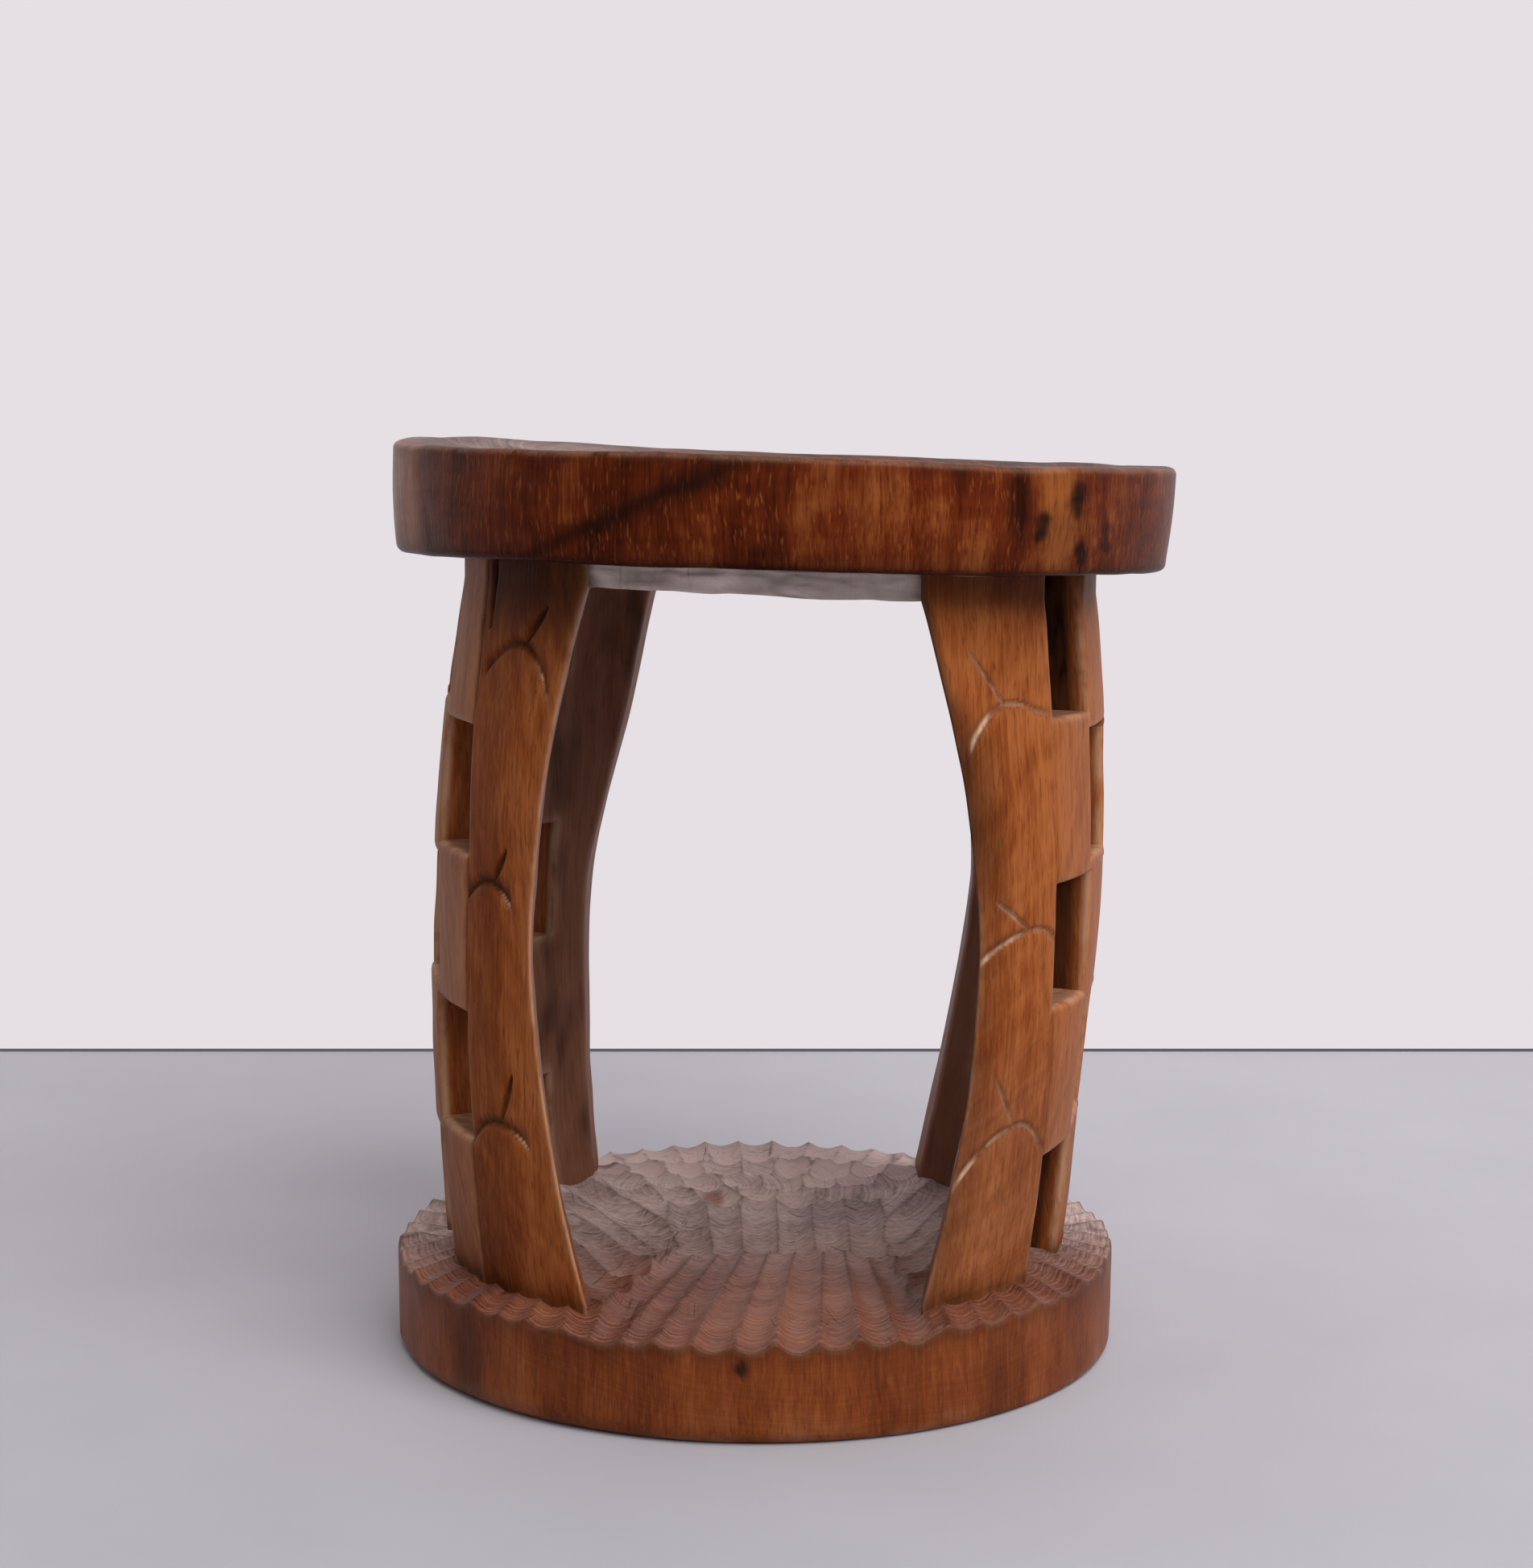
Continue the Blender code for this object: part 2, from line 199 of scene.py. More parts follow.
class StoolSizes(bpy.types.PropertyGroup):
    """Sizes of the stool, the same as those of its solids."""

    base_radius: length_property("Base radius", "Radius of the base at its rim", node_reach("base", 0))
    base_top: length_property("Base top", "Height of the base inside the walls", node_reach("base", 2))
    base_rim: length_property("Base rim", "Height of the base at its rim", 0.040)
    base_shoulder: length_property("Base shoulder", "Radius at which the top falls to the rim", 0.146)
    leg_foot: length_property("Leg foot", "Height at which the legs stand", 0.0463)
    leg_length: length_property("Leg length", "Height of the legs between base and seat", 0.297)
    leg_radius: length_property("Wall radius", "Outer radius of the walls at their ends", 0.142)
    leg_swell: length_property("Wall swell", "Extra radius of the walls at half height", 0.0095)
    leg_thickness: length_property("Wall thickness", "Thickness of the walls", 0.024)
    arch_middle: length_property("Arch middle", "Width of the open ends at half height", 0.186)
    front_arch_foot: length_property("Front arch foot", "Width of the front opening at the base", 0.140)
    front_arch_top: length_property("Front arch top", "Width of the front opening at the seat", 0.136)
    rear_arch_foot: length_property("Rear arch foot", "Width of the rear opening at the base", 0.160)
    rear_arch_top: length_property("Rear arch top", "Width of the rear opening at the seat", 0.136)
    lattice_angle: angle_property("Window angle", "Angle from the open end to the first window", 55)
    window_rows: IntProperty(name="Window rows", description="Windows up each wall", default=5, min=1)
    neck: length_property("Neck", "Height of the wood between two rows", 0.0065)
    window_round: length_property("Window edge", "Rounding of the window edges", 0.0024)
    arch_round: length_property("Arch edge", "Rounding of the arch edges", 0.0018)
    seat_radius: length_property(
        "Seat radius", "Radius of the seat at its top edge", node_reach("seat", 1)
    )
    seat_rim: length_property("Seat rim", "Height of the seat's side", 0.044)
    seat_boss: length_property("Seat boss", "How far the seat's middle hangs below its rim", 0.0125)
    seat_dish: length_property("Seat dish", "Depth of the dished top", 0.014)
    seat_lip: length_property("Seat lip", "Width of the lip round the dish", 0.012)
    lean: FloatProperty(
        name="Lean", description="Sideways shift of the log for each metre of height", default=0.034
    )
    twist: angle_property("Twist", "Turn of the log for each metre of height", 16)


class StoolColours(bpy.types.PropertyGroup):
    """Colours of the wood and of the studio."""

    # The light mask moves wall colours towards the light tone as painted light and sheen.
    leg_dark: colour_property("Leg dark", "Dark grain of the walls", (0.130, 0.028, 0.0060))
    leg_middle: colour_property("Leg middle", "Middle tone of the walls", (0.225, 0.054, 0.0110))
    leg_light: colour_property("Leg light", "Light grain of the walls", (0.340, 0.104, 0.028))
    side_dark: colour_property("Side dark", "Dark grain of the base's side", (0.070, 0.014, 0.0035))
    side_middle: colour_property("Side middle", "Middle tone of the base's side", (0.175, 0.040, 0.0090))
    side_light: colour_property("Side light", "Light grain of the base's side", (0.290, 0.088, 0.024))
    # The seat's light tone also takes the side's painted light on the right.
    seat_dark: colour_property("Seat dark", "Dark grain of the seat", (0.030, 0.0045, 0.0012))
    seat_middle: colour_property("Seat middle", "Middle tone of the seat", (0.115, 0.0180, 0.0035))
    seat_light: colour_property("Seat light", "Light grain of the seat", (0.270, 0.0800, 0.0200))
    # The top tones' grey and paleness also paint the sheen towards the back of the base.
    top_dark: colour_property("Top dark", "Dark tone of the base's gouged top", (0.060, 0.022, 0.015))
    top_light: colour_property("Top light", "Light tone of the base's gouged top", (0.660, 0.490, 0.450))
    # Sill tones also paint the grey sheen on the left walls' window columns.
    sill_dark: colour_property("Sill dark", "Dark tone of dry wood on the walls", (0.150, 0.065, 0.034))
    sill_light: colour_property("Sill light", "Light tone of dry wood on the walls", (0.370, 0.210, 0.130))
    # Raw tones also paint the grey sheen on the seat's left end and the lip's far left.
    raw_dark: colour_property("Raw dark", "Dark tone of the seat's hewn underside", (0.150, 0.105, 0.085))
    raw_light: colour_property("Raw light", "Light tone of the seat's underside", (0.800, 0.690, 0.640))
    # Inner tones are mixed lighter on the right legs' inner faces as painted light.
    inner_dark: colour_property("Inner dark", "Dark tone inside the walls", (0.095, 0.034, 0.016))
    inner_light: colour_property("Inner light", "Light tone inside the walls", (0.225, 0.100, 0.060))
    # Worn also paints highlights on the tongues below one chequer's cuts.
    worn: colour_property("Worn", "Pale wood where edges are rubbed", (0.600, 0.390, 0.250))
    # This colour also paints shade: under the seat, along the right arches, inside the windows and behind
    # the seat's boss.
    stain: colour_property("Stain", "Smoke, knots and dark figure", (0.0070, 0.0030, 0.0022))
    # This colour also paints shade under the seat's overhang, deep in the windows and at the starts of the
    # gouge strokes.
    grime: colour_property("Grime", "Dirt in cuts and corners", (0.0180, 0.0070, 0.0045))
    floor: colour_property("Floor", "Studio floor in front", (0.388, 0.378, 0.413))
    # The paler floor by the wall paints the wall's reflection on the floor.
    far_floor: colour_property("Far floor", "Studio floor by the wall", (0.480, 0.468, 0.505))
    wall: colour_property("Wall", "Studio wall", (0.790, 0.745, 0.775))
    joint: colour_property("Joint", "Thin line where wall meets floor", (0.110, 0.110, 0.120))


class StoolStudio(bpy.types.PropertyGroup):
    """Camera, light, floor and wall."""

    camera_place: place_property("Camera place", "Where the camera stands", (0.0051, -1.239, 0.401))
    camera_pitch: angle_property("Camera pitch", "How far the camera looks down", 6.88)
    camera_lens: FloatProperty(
        name="Lens", description="Focal length on a 36 mm long side", default=36 * 3415 / 1948,
        unit="CAMERA"
    )
    key_place: place_property("Key place", "Where the large soft lamp hangs", (1.5, -2.1, 2.75))
    key_target: place_property("Key target", "What the large soft lamp points at", (0, 0, 0.2))
    key_size: length_property("Key size", "Width of the large soft lamp", 3.2)
    key_power: FloatProperty(
        name="Key power", description="Power of the large soft lamp", default=147.0, unit="POWER"
    )
    sky_strength: FloatProperty(
        name="Sky strength", description="Strength of the soft light from overhead", default=0.8
    )
    front_strength: FloatProperty(
        name="Front strength", description="Strength of the dim light from the camera's side",
        default=0.06
    )
    floor_reach: length_property("Floor reach", "Half the floor's width", 12.0)
    wall_reach: length_property("Wall reach", "The wall's height, and half its width", 4.0)
    wall_distance: length_property("Wall distance", "Wall behind the stool", 0.58)
    joint_height: length_property("Joint height", "Height of the line between wall and floor", 0.002)


# Numbers: repeatable noise, the log's lean, and grids.


def cell_value(cells, seed):
    """Repeatable value from -1 to 1 for each whole-number cell, by mixing the bits of its place."""
    mixed = (cells[..., 0] * 73856093) ^ (cells[..., 1] * 19349663) ^ (cells[..., 2] * 83492791)
    mixed = (mixed ^ (seed * 2654435761)) & 0xFFFFFFFF
    mixed = ((mixed ^ (mixed >> 15)) * 739982445) & 0xFFFFFFFF
    mixed = ((mixed ^ (mixed >> 12)) * 695872825) & 0xFFFFFFFF
    return ((mixed ^ (mixed >> 15)) & 0xFFFF) / 32767.5 - 1


def soft_noise(points, scale, seed):
    """Smooth noise from -1 to 1: the eight corner values of a cell blended by 3f^2 - 2f^3."""
    place = points * np.asarray(scale, float)
    cell = np.floor(place).astype(np.int64)
    part = place - cell
    part = part * part * (3 - 2 * part)
    total = 0.0
    for corner in itertools.product((0, 1), repeat=3):
        share = np.prod(np.where(np.array(corner) == 1, part, 1 - part), axis=-1)
        total = total + share * cell_value(cell + np.array(corner), seed)
    return total


def two_noises(points, coarse, fine, seed):
    """Coarse noise plus 0.6 of fine noise from the next seed."""
    return soft_noise(points, coarse, seed) + 0.6 * soft_noise(points, fine, seed + 1)


def hand_worked(points, amount):
    """Points moved by smooth noise in waves of about 45 and 17 mm, the unevenness of work by eye."""
    wave = [
        soft_noise(points, 22, 3 + axis) + 0.45 * soft_noise(points, 60, 9 + axis) for axis in range(3)
    ]
    return points + amount * np.stack(wave, axis=-1)


def settle(points, sizes):
    """The log's stance above the foot: turned by twist x rise, shifted by lean x rise, top tilted."""
    x, y, z = np.moveaxis(points, -1, 0)
    rise = np.maximum(z - sizes.leg_foot, 0)
    cos, sin = np.cos(sizes.twist * rise), np.sin(sizes.twist * rise)
    tilt = sizes.lean * np.minimum(1, rise / sizes.leg_length)
    return np.stack([x * cos + y * sin + sizes.lean * rise, y * cos - x * sin, z - tilt * x], axis=-1)


def smooth_step(value, low, high):
    """0 below low, 1 above high, 3t^2 - 2t^3 between."""
    t = np.clip((value - low) / (high - low), 0, 1)
    return t * t * (3 - 2 * t)


def even_steps(count):
    """Shares from 1 / count to 1, one for each ring."""
    return np.linspace(0, 1, count + 1)[1:, None]


def graded(start, stop, step, round_start, round_stop):
    """Lines from start to stop: quarter-circle spacing where an end is rounded, even steps between."""
    quarter = 1 - np.cos(np.linspace(0, np.pi / 2, 5))
    low, high = start + round_start * quarter, stop - round_stop * quarter[::-1]
    count = max(2, int(round((high[0] - low[-1]) / step)) + 1)
    lines = np.concatenate([low, np.linspace(low[-1], high[0], count), high])
    return np.unique(np.round(lines, 9))


def turned_ring(around):
    """Angles of a ring's points, their cosines and sines, and the points on a circle of radius 1."""
    turn = np.linspace(0, 2 * np.pi, around, endpoint=False)
    cos, sin = np.cos(turn), np.sin(turn)
    return turn, cos, sin, np.stack([cos, sin, 0 * turn], -1)


def turned_faces(rings, around):
    """Quads of a closed turned surface whose ring i holds points i x around onward, outside first."""
    ring, step = np.meshgrid(np.arange(rings - 1), np.arange(around), indexing="ij")
    a, b = ring * around + step, ring * around + (step + 1) % around
    return np.stack([a, a + around, b + around, b], axis=-1).reshape(-1, 4)


def turned_piece(points, masks):
    """Vertices, faces and masks of rings of points, with the first and last ring closed.

    Each of these two is closed to the mean of its points, which takes the ring's first mask value.
    """
    rings, around = points.shape[:2]
    count, last = rings * around, (rings - 1) * around
    step = np.arange(around)
    after = (step + 1) % around
    first_cap = np.stack([0 * step + count, step, after], -1)
    last_cap = np.stack([0 * step + count + 1, last + after, last + step], -1)
    vertices = np.concatenate([points.reshape(-1, 3), points[:1].mean(1), points[-1:].mean(1)])
    faces = turned_faces(rings, around).tolist() + first_cap.tolist() + last_cap.tolist()
    spread = {name: np.broadcast_to(mask, (rings, around)) for name, mask in masks.items()}
    masks = {name: np.append(mask.ravel(), mask[[0, -1], 0]) for name, mask in spread.items()}
    return vertices, faces, masks


def put_in_scene(name, data):
    """New object in the scene, at the origin."""
    made = bpy.data.objects.new(name, data)
    bpy.context.scene.collection.objects.link(made)
    return made


def add_piece(name, vertices, faces, masks, finish, slot):
    """Mesh object at the origin from arrays, with one float attribute for each mask of the finish."""
    mesh = bpy.data.meshes.new(name)
    mesh.from_pydata(vertices.tolist(), [], faces)
    for mask in MASKS:
        layer = mesh.attributes.new(mask, "FLOAT", "POINT")
        layer.data.foreach_set("value", np.clip(masks[mask], 0, 1).astype(np.float32))
    mesh.polygons.foreach_set("use_smooth", np.ones(len(mesh.polygons), bool))
    mesh.materials.append(finish)
    mesh.validate()
    mesh.update()
    piece = put_in_scene(name, mesh)
    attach(piece, "root")
    return piece


# Legs


def leg_level(z, sizes):
    """-1 at a leg's foot, 0 at half its height and 1 at its top."""
    return (z - sizes.leg_foot) / (sizes.leg_length / 2) - 1


def plain_radius(z, sizes):
    """Radius of the walls before hewing: end radius plus swell x (1 - level^2)."""
    return sizes.leg_radius + sizes.leg_swell * (1 - leg_level(z, sizes) ** 2)


def wall_radius(angle, z, side, lattice, sizes):
    """Outer radius of the hewn walls.

    Hewing leaves two flats, on the post and on the windows, that meet in an arris. A flat's radius is
    c / cos(a - middle), and a third of its dip is kept. The right wall draws in below its middle.
    """
    middle = lattice + np.radians(np.where(angle < lattice, -15, 18))
    flat = np.cos(lattice - middle) / np.cos(angle - middle)
    radius = plain_radius(z, sizes) * (1 + 0.3 * (flat - 1)) + 0.0012
    if side > 0:
        low = np.exp(-(((leg_level(z, sizes) + 0.45) / 0.4) ** 2))
        radius = radius - 0.0027 * low * smooth_step(angle, np.radians(55), np.radians(85))
    return radius


def arch_half_width(z, side, end, sizes):
    """Half the open end's width: middle width eased to foot and top widths by |level|^1.7.

    The rear left post bows in above its middle, and the rear right one stands back there.
    """
    level = leg_level(z, sizes)
    foot = sizes.front_arch_foot if end < 0 else sizes.rear_arch_foot
    top = sizes.front_arch_top if end < 0 else sizes.rear_arch_top
    shoulder = np.where(level < 0, foot, top)
    half = (sizes.arch_middle + (shoulder - sizes.arch_middle) * np.abs(level) ** 1.7) / 2
    if end > 0 and side < 0:
        half = half - 0.0065 * np.exp(-(((level - 0.5) / 0.4) ** 2))
    if end > 0 and side > 0:
        half = half + 0.0035 * (1 - np.abs(level))
    return half


def round_over(distance, radius):
    """Depth below the skin of a quarter-round edge at a distance from that edge."""
    inside = np.clip(radius - distance, 0, radius)
    return radius - np.sqrt(np.maximum(radius**2 - inside**2, 0))


def post_carving(angle, z, chequer, sizes):
    """Depth of the cuts and splits on a post, and where they show pale: exposed wood on one chequer, a
    painted highlight on the other.

    An arc is a parabola from its crest to each end. It is a stop cut: deepest on the line, easing out
    above over a width that grows towards the arch, with the tongue below rounded off to the line. A
    slit is a leaf: a V whose half width follows the sine of the way along it. A split is a V that
    widens with the 0.6 power of the way up. Arcs are pale towards the arch. On one chequer this is
    exposed wood, and the arcs and their slits are pale all along; on the other it is a painted
    highlight on the tongue's lip below the line.
    """
    depth, pale = np.zeros_like(z), np.zeros_like(z)
    arc = sizes.leg_radius + sizes.leg_swell / 2
    broad = 1.0 if chequer == 1 else 0.7
    for crest, near, far, slit in POST_CUTS[chequer]:
        offset = angle - np.radians(crest[0])
        by_arch = offset < 0
        reach_round = np.radians(np.where(by_arch, crest[0] - near[0], far[0] - crest[0]))
        drop = np.where(by_arch, crest[1] - near[1], crest[1] - far[1])
        across = np.abs(offset) / reach_round
        above = z - (crest[1] - drop * across**2)
        above = above / np.sqrt(1 + (2 * drop * across / (reach_round * arc)) ** 2)
        fade = 1 - smooth_step(across, 0.88, 1.08)
        reach = broad * (0.0042 + 0.0040 * np.clip(across, 0, 1) * by_arch)
        tongue = 0.7 * np.clip(1 + above / 0.0028, 0, 1) ** 2
        cut = np.where(above > 0, np.clip(1 - above / reach, 0, 1) ** 1.4, tongue)
        depth = np.maximum(depth, CUT_DEPTH * broad * fade * cut)
        pale_wood_and_highlight = by_arch * smooth_step(across, 0.1, 0.6)
        # Exposed pale wood on one chequer; on the other, a painted highlight on the tongue's lip below the
        # line.
        if chequer == 0:
            pale_wood_and_highlight = np.maximum(pale_wood_and_highlight, 0.45)
        else:
            pale_wood_and_highlight = pale_wood_and_highlight * (above < 0.0004) * smooth_step(across, 0.3, 0.8)
        pale = np.maximum(pale, fade * pale_wood_and_highlight * smooth_step(cut, 0.3, 0.75))

        run = np.array([np.radians(crest[0] - 1.5 - slit[0]) * arc, crest[1] + 0.0005 - slit[1]])
        length = np.hypot(*run)
        over, up = (angle - np.radians(slit[0])) * arc, z - slit[1]
        along = (over * run[0] + up * run[1]) / length**2
        aside = np.abs(over * run[1] - up * run[0]) / length
        taper = np.sin(np.pi * np.clip(0.04 + 0.88 * along, 0, 1)) ** 0.8
        leaf = 0.0026 * broad**1.6 * taper + 1e-6
        slit_cut = (leaf > 4e-4) * np.clip(1 - aside / leaf, 0, 1)
        depth = np.maximum(depth, SLIT_DEPTH * broad * slit_cut)
        pale = np.maximum(pale, 0.8 * (chequer == 0) * slit_cut)
    for degrees, low, high, half_width in POST_SPLITS[chequer]:
        way = np.clip((z - low) / (high - low), 0, 1)
        aside = np.abs(angle - np.radians(degrees)) * arc
        gap = np.clip(1 - aside / (half_width * way**0.6 + 1e-6), 0, 1)
        depth = np.maximum(depth, SPLIT_DEPTH * gap * (z > low))
    return depth, pale


def leg_windows(lattice, column, sills, height, chequer):
    """Windows of a leg, and of its neighbour past the seam as strip 2.

    Each is the angle where it starts, its width, its foot and top, and its strip. Those of the first
    and last row run on past the leg's ends.
    """
    windows, past = [], 0.05
    for row, strip in itertools.product(range(len(sills)), range(3)):
        parity = strip + row + chequer if strip < 2 else row + chequer
        if parity % 2 == 0:
            low = sills[row] - (past if row == 0 else 0)
            high = sills[row] + height + (past if row == len(sills) - 1 else 0)
            windows.append((lattice + column * strip, column, low, high, strip))
    return windows


def kept_cells(strips, levels, windows):
    """True for each cell of the net that is wood: all of the post, and the columns outside windows."""
    middle_u, middle_z = (strips[1:] + strips[:-1]) / 2, (levels[1:] + levels[:-1]) / 2
    kept = np.ones((len(middle_u), len(middle_z)), bool)
    for _, _, low, high, strip in windows:
        if strip < 2:
            in_strip = (middle_u > 1 + strip) & (middle_u < 2 + strip)
            kept[np.ix_(in_strip, (middle_z > low) & (middle_z < high))] = False
    return kept


def cut_edges(kept, number):
    """Edges between wood and open cells, ordered so that the cut faces look out, and the sills' own."""
    border = np.pad(kept, 1)
    change = border[:-1, 1:-1].astype(int) - border[1:, 1:-1]
    change_up = border[1:-1, :-1].astype(int) - border[1:-1, 1:]
    upright = np.stack([number[:, :-1], number[:, 1:]], -1)
    level = np.stack([number[:-1, :], number[1:, :]], -1)
    sills = level[change_up > 0]
    edges = [upright[change > 0][:, ::-1], upright[change < 0], sills, level[change_up < 0][:, ::-1]]
    return np.concatenate(edges), sills


def joined_skins(outer, inner, edges, share):
    """Points and faces of the strips that join the edges of two skins, and the outer points they use.

    A strip's points stand at even shares of the way from the outer point to the inner one.
    """
    count, on_edge, inside = len(outer), np.unique(edges), len(share)
    between = outer[on_edge, None] * (1 - share[:, None]) + inner[on_edge, None] * share[:, None]
    ladder = np.full((count, inside + 2), -1)
    ladder[:, 0], ladder[:, -1] = np.arange(count), np.arange(count) + count
    ladder[on_edge, 1:-1] = 2 * count + np.arange(len(on_edge) * inside).reshape(-1, inside)
    first, second = ladder[edges[:, 0]], ladder[edges[:, 1]]
    faces = np.stack([first[:, 1:], first[:, :-1], second[:, :-1], second[:, 1:]], -1)
    return between.reshape(-1, 3), faces.reshape(-1, 4), on_edge


def leg_smoke(side, u, z, arch, ragged):
    """Darkening of a leg's outer face: smoke and painted shade under the seat, with a ragged lower edge.

    On the right a band along the arch is painted shade, as on a face turning from the light. On the left
    the post darkens towards the windows as painted shade, and the columns between them stay clean.
    """
    if side > 0:
        smoke_and_shade = 0.60 * smooth_step(z + 0.004 * ragged, 0.332, 0.350)
        band = (0.005 + 0.010 * (1 - smooth_step(z, 0.28, 0.31))) * (1 + 0.25 * ragged)
        arch_shade = (0.40 + 0.42 * smooth_step(z, 0.20, 0.25)) * np.exp(-((arch / band) ** 2))
        return np.maximum(smoke_and_shade, arch_shade)
    in_bay = u > 1
    smoke_and_shade = 0.82 * smooth_step(z + 0.010 * ragged, 0.306, 0.352) * (1 - 0.85 * in_bay)
    return np.maximum(smoke_and_shade, 0.22 * smooth_step(u, 0.35, 0.70) * ~in_bay)


def leg_light(side, u, z):
    """Painted light on a leg's outer face: lighter on the right, pale sheen on the columns, lit right post
    top and left arch edge.
    """
    in_bay = u > 1
    if side > 0:
        return 0.25 + 0.4 * in_bay + 0.60 * np.exp(-(((z - 0.305) / 0.03) ** 2)) * ~in_bay
    return 0.40 * (1 - smooth_step(u, 0.20, 0.60)) + 0.40 * in_bay


def pierced_leg(side, end, chequer, sizes):
    """One quarter of the pierced wall, as two skins over the same net and the cut edges between them.

    The net's lines run up the wall and round it. A point is at radius x (side sin a, end cos a), with
    a from the arch's edge, where radius x sin a is half the arch's width, to the seam at 90 degrees.
    Near a window or the arch the skin drops by a quarter-round. Cells inside a window are left out,
    and each edge between a kept and a dropped cell gets a strip from the outer to the inner skin.
    """
    foot, top = sizes.leg_foot, sizes.leg_foot + sizes.leg_length
    rows = sizes.window_rows
    height = (sizes.leg_length - (rows - 1) * sizes.neck) / rows
    edge, pitch = sizes.window_round, height + sizes.neck
    sills = foot + pitch * np.arange(rows)
    lattice = sizes.lattice_angle + (np.radians(1.3) if chequer == 0 else 0)
    up_step, post_step, bay_step, post_width, cut_steps = 0.0011, 0.0009, 0.0019, 0.072, 8

    # Lines up the wall: sunk foot, rows and necks, and the stretch beside the seat's boss.
    lines = [np.array([foot - 0.011, foot - 0.005]), top + np.linspace(0, sizes.seat_boss + 0.004, 8)]
    lines += [graded(sill, sill + height, up_step, edge, edge) for sill in sills]
    lines += [graded(sill + height, sill + pitch, up_step, edge, edge) for sill in sills[:-1]]
    levels = np.unique(np.round(np.concatenate(lines), 9))

    # Lines round the wall, counted 0 to 1 over the post and 1 each over the two window columns.
    mean_radius = sizes.leg_radius + sizes.leg_swell * 0.6
    column = (np.pi / 2 - lattice) / 2
    post = graded(0, post_width, post_step, sizes.arch_round, edge) / post_width
    width = column * mean_radius
    bay = graded(0, width, bay_step, edge, edge) / width
    strips = np.unique(np.round(np.concatenate([post, 1 + bay, 2 + bay]), 9))
    u, z = np.meshgrid(strips, levels, indexing="ij")
    held = np.clip(z, foot, top)

    windows = leg_windows(lattice, column, sills, height, chequer)
    half = arch_half_width(held, side, end, sizes)
    set_back = 0.0028 if end < 0 else 0.0

    def net_angle(radius, back=0.0):
        """Angle of each net point for a skin radius, with the arch's edge kept on its upright plane."""
        brink = np.arcsin((half + back) / radius)
        return np.where(u < 1, brink + (lattice - brink) * u, lattice + column * (u - 1))

    def edge_reach(angle):
        """Distance along the skin to the nearest window, and to the arch."""
        reach = np.full_like(z, 1.0)
        for start, wide, low, high, _ in windows:
            across = np.maximum(np.maximum(start - angle, angle - start - wide), 0) * mean_radius
            reach = np.minimum(reach, np.hypot(across, np.maximum(np.maximum(low - z, z - high), 0)))
        return reach, np.where(u < 1, u * (lattice - angle[0]), 1.0) * mean_radius

    def on_skin(radius, back=0.0):
        """Points of a skin. On one chequer the top sill stands higher, eased in across the post."""
        angle = net_angle(radius, back)
        lift = 0.004 * np.exp(-(((z - sills[-1]) / 0.012) ** 2)) * smooth_step(u, 0.75, 1)
        rise = z + lift * (chequer == 0)
        return np.stack([side * radius * np.sin(angle), end * radius * np.cos(angle), rise], axis=-1)

    # Outer skin: hewn, carved, scored along the windows and rounded at its edges.
    plain = plain_radius(held, sizes)
    angle = net_angle(plain)
    radius = wall_radius(angle, held, side, lattice, sizes)
    reach, arch = edge_reach(angle)
    carved, pale = post_carving(angle, z, chequer, sizes)
    carved, pale = carved * (u < 1), pale * (u < 1)
    score = (0.0012 + 0.0012 * smooth_step(z, 0.28, 0.33)) if chequer == 1 else 0.0005
    scored = score * np.clip(1 - np.abs(angle - lattice) * mean_radius / 0.0016, 0, 1)
    drop = np.maximum(round_over(reach, edge), round_over(arch, sizes.arch_round))
    outside = on_skin(radius - np.maximum(drop, np.maximum(carved, scored)))

    # Inner skin: lumpy, and eased at its edges.
    hide = plain - sizes.leg_thickness
    hide_points = on_skin(hide)
    inner_reach, inner_arch = edge_reach(net_angle(hide))
    eased = np.maximum(round_over(inner_reach, 0.0016), round_over(inner_arch, 0.003))
    lumps = two_noises(hide_points, (45, 45, 22), (120, 120, 60), 33)
    inside = on_skin(hide + eased + 0.0013 * lumps * smooth_step(inner_reach, 0, 0.006), set_back)

    kept = kept_cells(strips, levels, windows)
    count = z.size
    number = np.arange(count).reshape(z.shape)
    corners = [number[:-1, :-1], number[1:, :-1], number[1:, 1:], number[:-1, 1:]]
    skin_faces = np.stack(corners, -1)[kept]
    edges, sill_edges = cut_edges(kept, number)
    share = np.arange(1, cut_steps) / cut_steps
    outer_points, inner_points = outside.reshape(-1, 3), inside.reshape(-1, 3)
    between, cut_faces, on_edge = joined_skins(outer_points, inner_points, edges, share)
    faces = np.concatenate([skin_faces, skin_faces[:, ::-1] + count, cut_faces])
    if side * end > 0:
        faces = faces[:, ::-1]

    # Masks of the outer skin, the inner skin and the cut faces: worn edges, painted highlights on some cut
    # lips, dirt in cuts, darkening at the foot, dry sills, painted grey sheen on the left columns, dull
    # inner faces, smoke and painted shade under the seat, painted shade along the right arches and inside
    # the windows, and painted light on outer and inner faces.
    depth = np.tile(share * sizes.leg_thickness, len(on_edge))
    sill = np.repeat(np.isin(on_edge, sill_edges), len(share))
    by_arch = np.repeat((u.ravel() == 0)[on_edge], len(share))
    none = np.zeros(count)
    smoke_and_shade = leg_smoke(side, u, z, arch, soft_noise(on_skin(plain), (90, 90, 18), 37))
    rubbed = 0.5 * np.exp(-np.minimum(reach, arch) / 0.0013) * (1 - smoke_and_shade * (side > 0))
    corner = 0.8 * np.exp(-np.maximum(z - foot, 0) / 0.004)
    dirt = np.maximum(carved / 0.0017 * (1 - 0.95 * pale), scored / 0.0014)
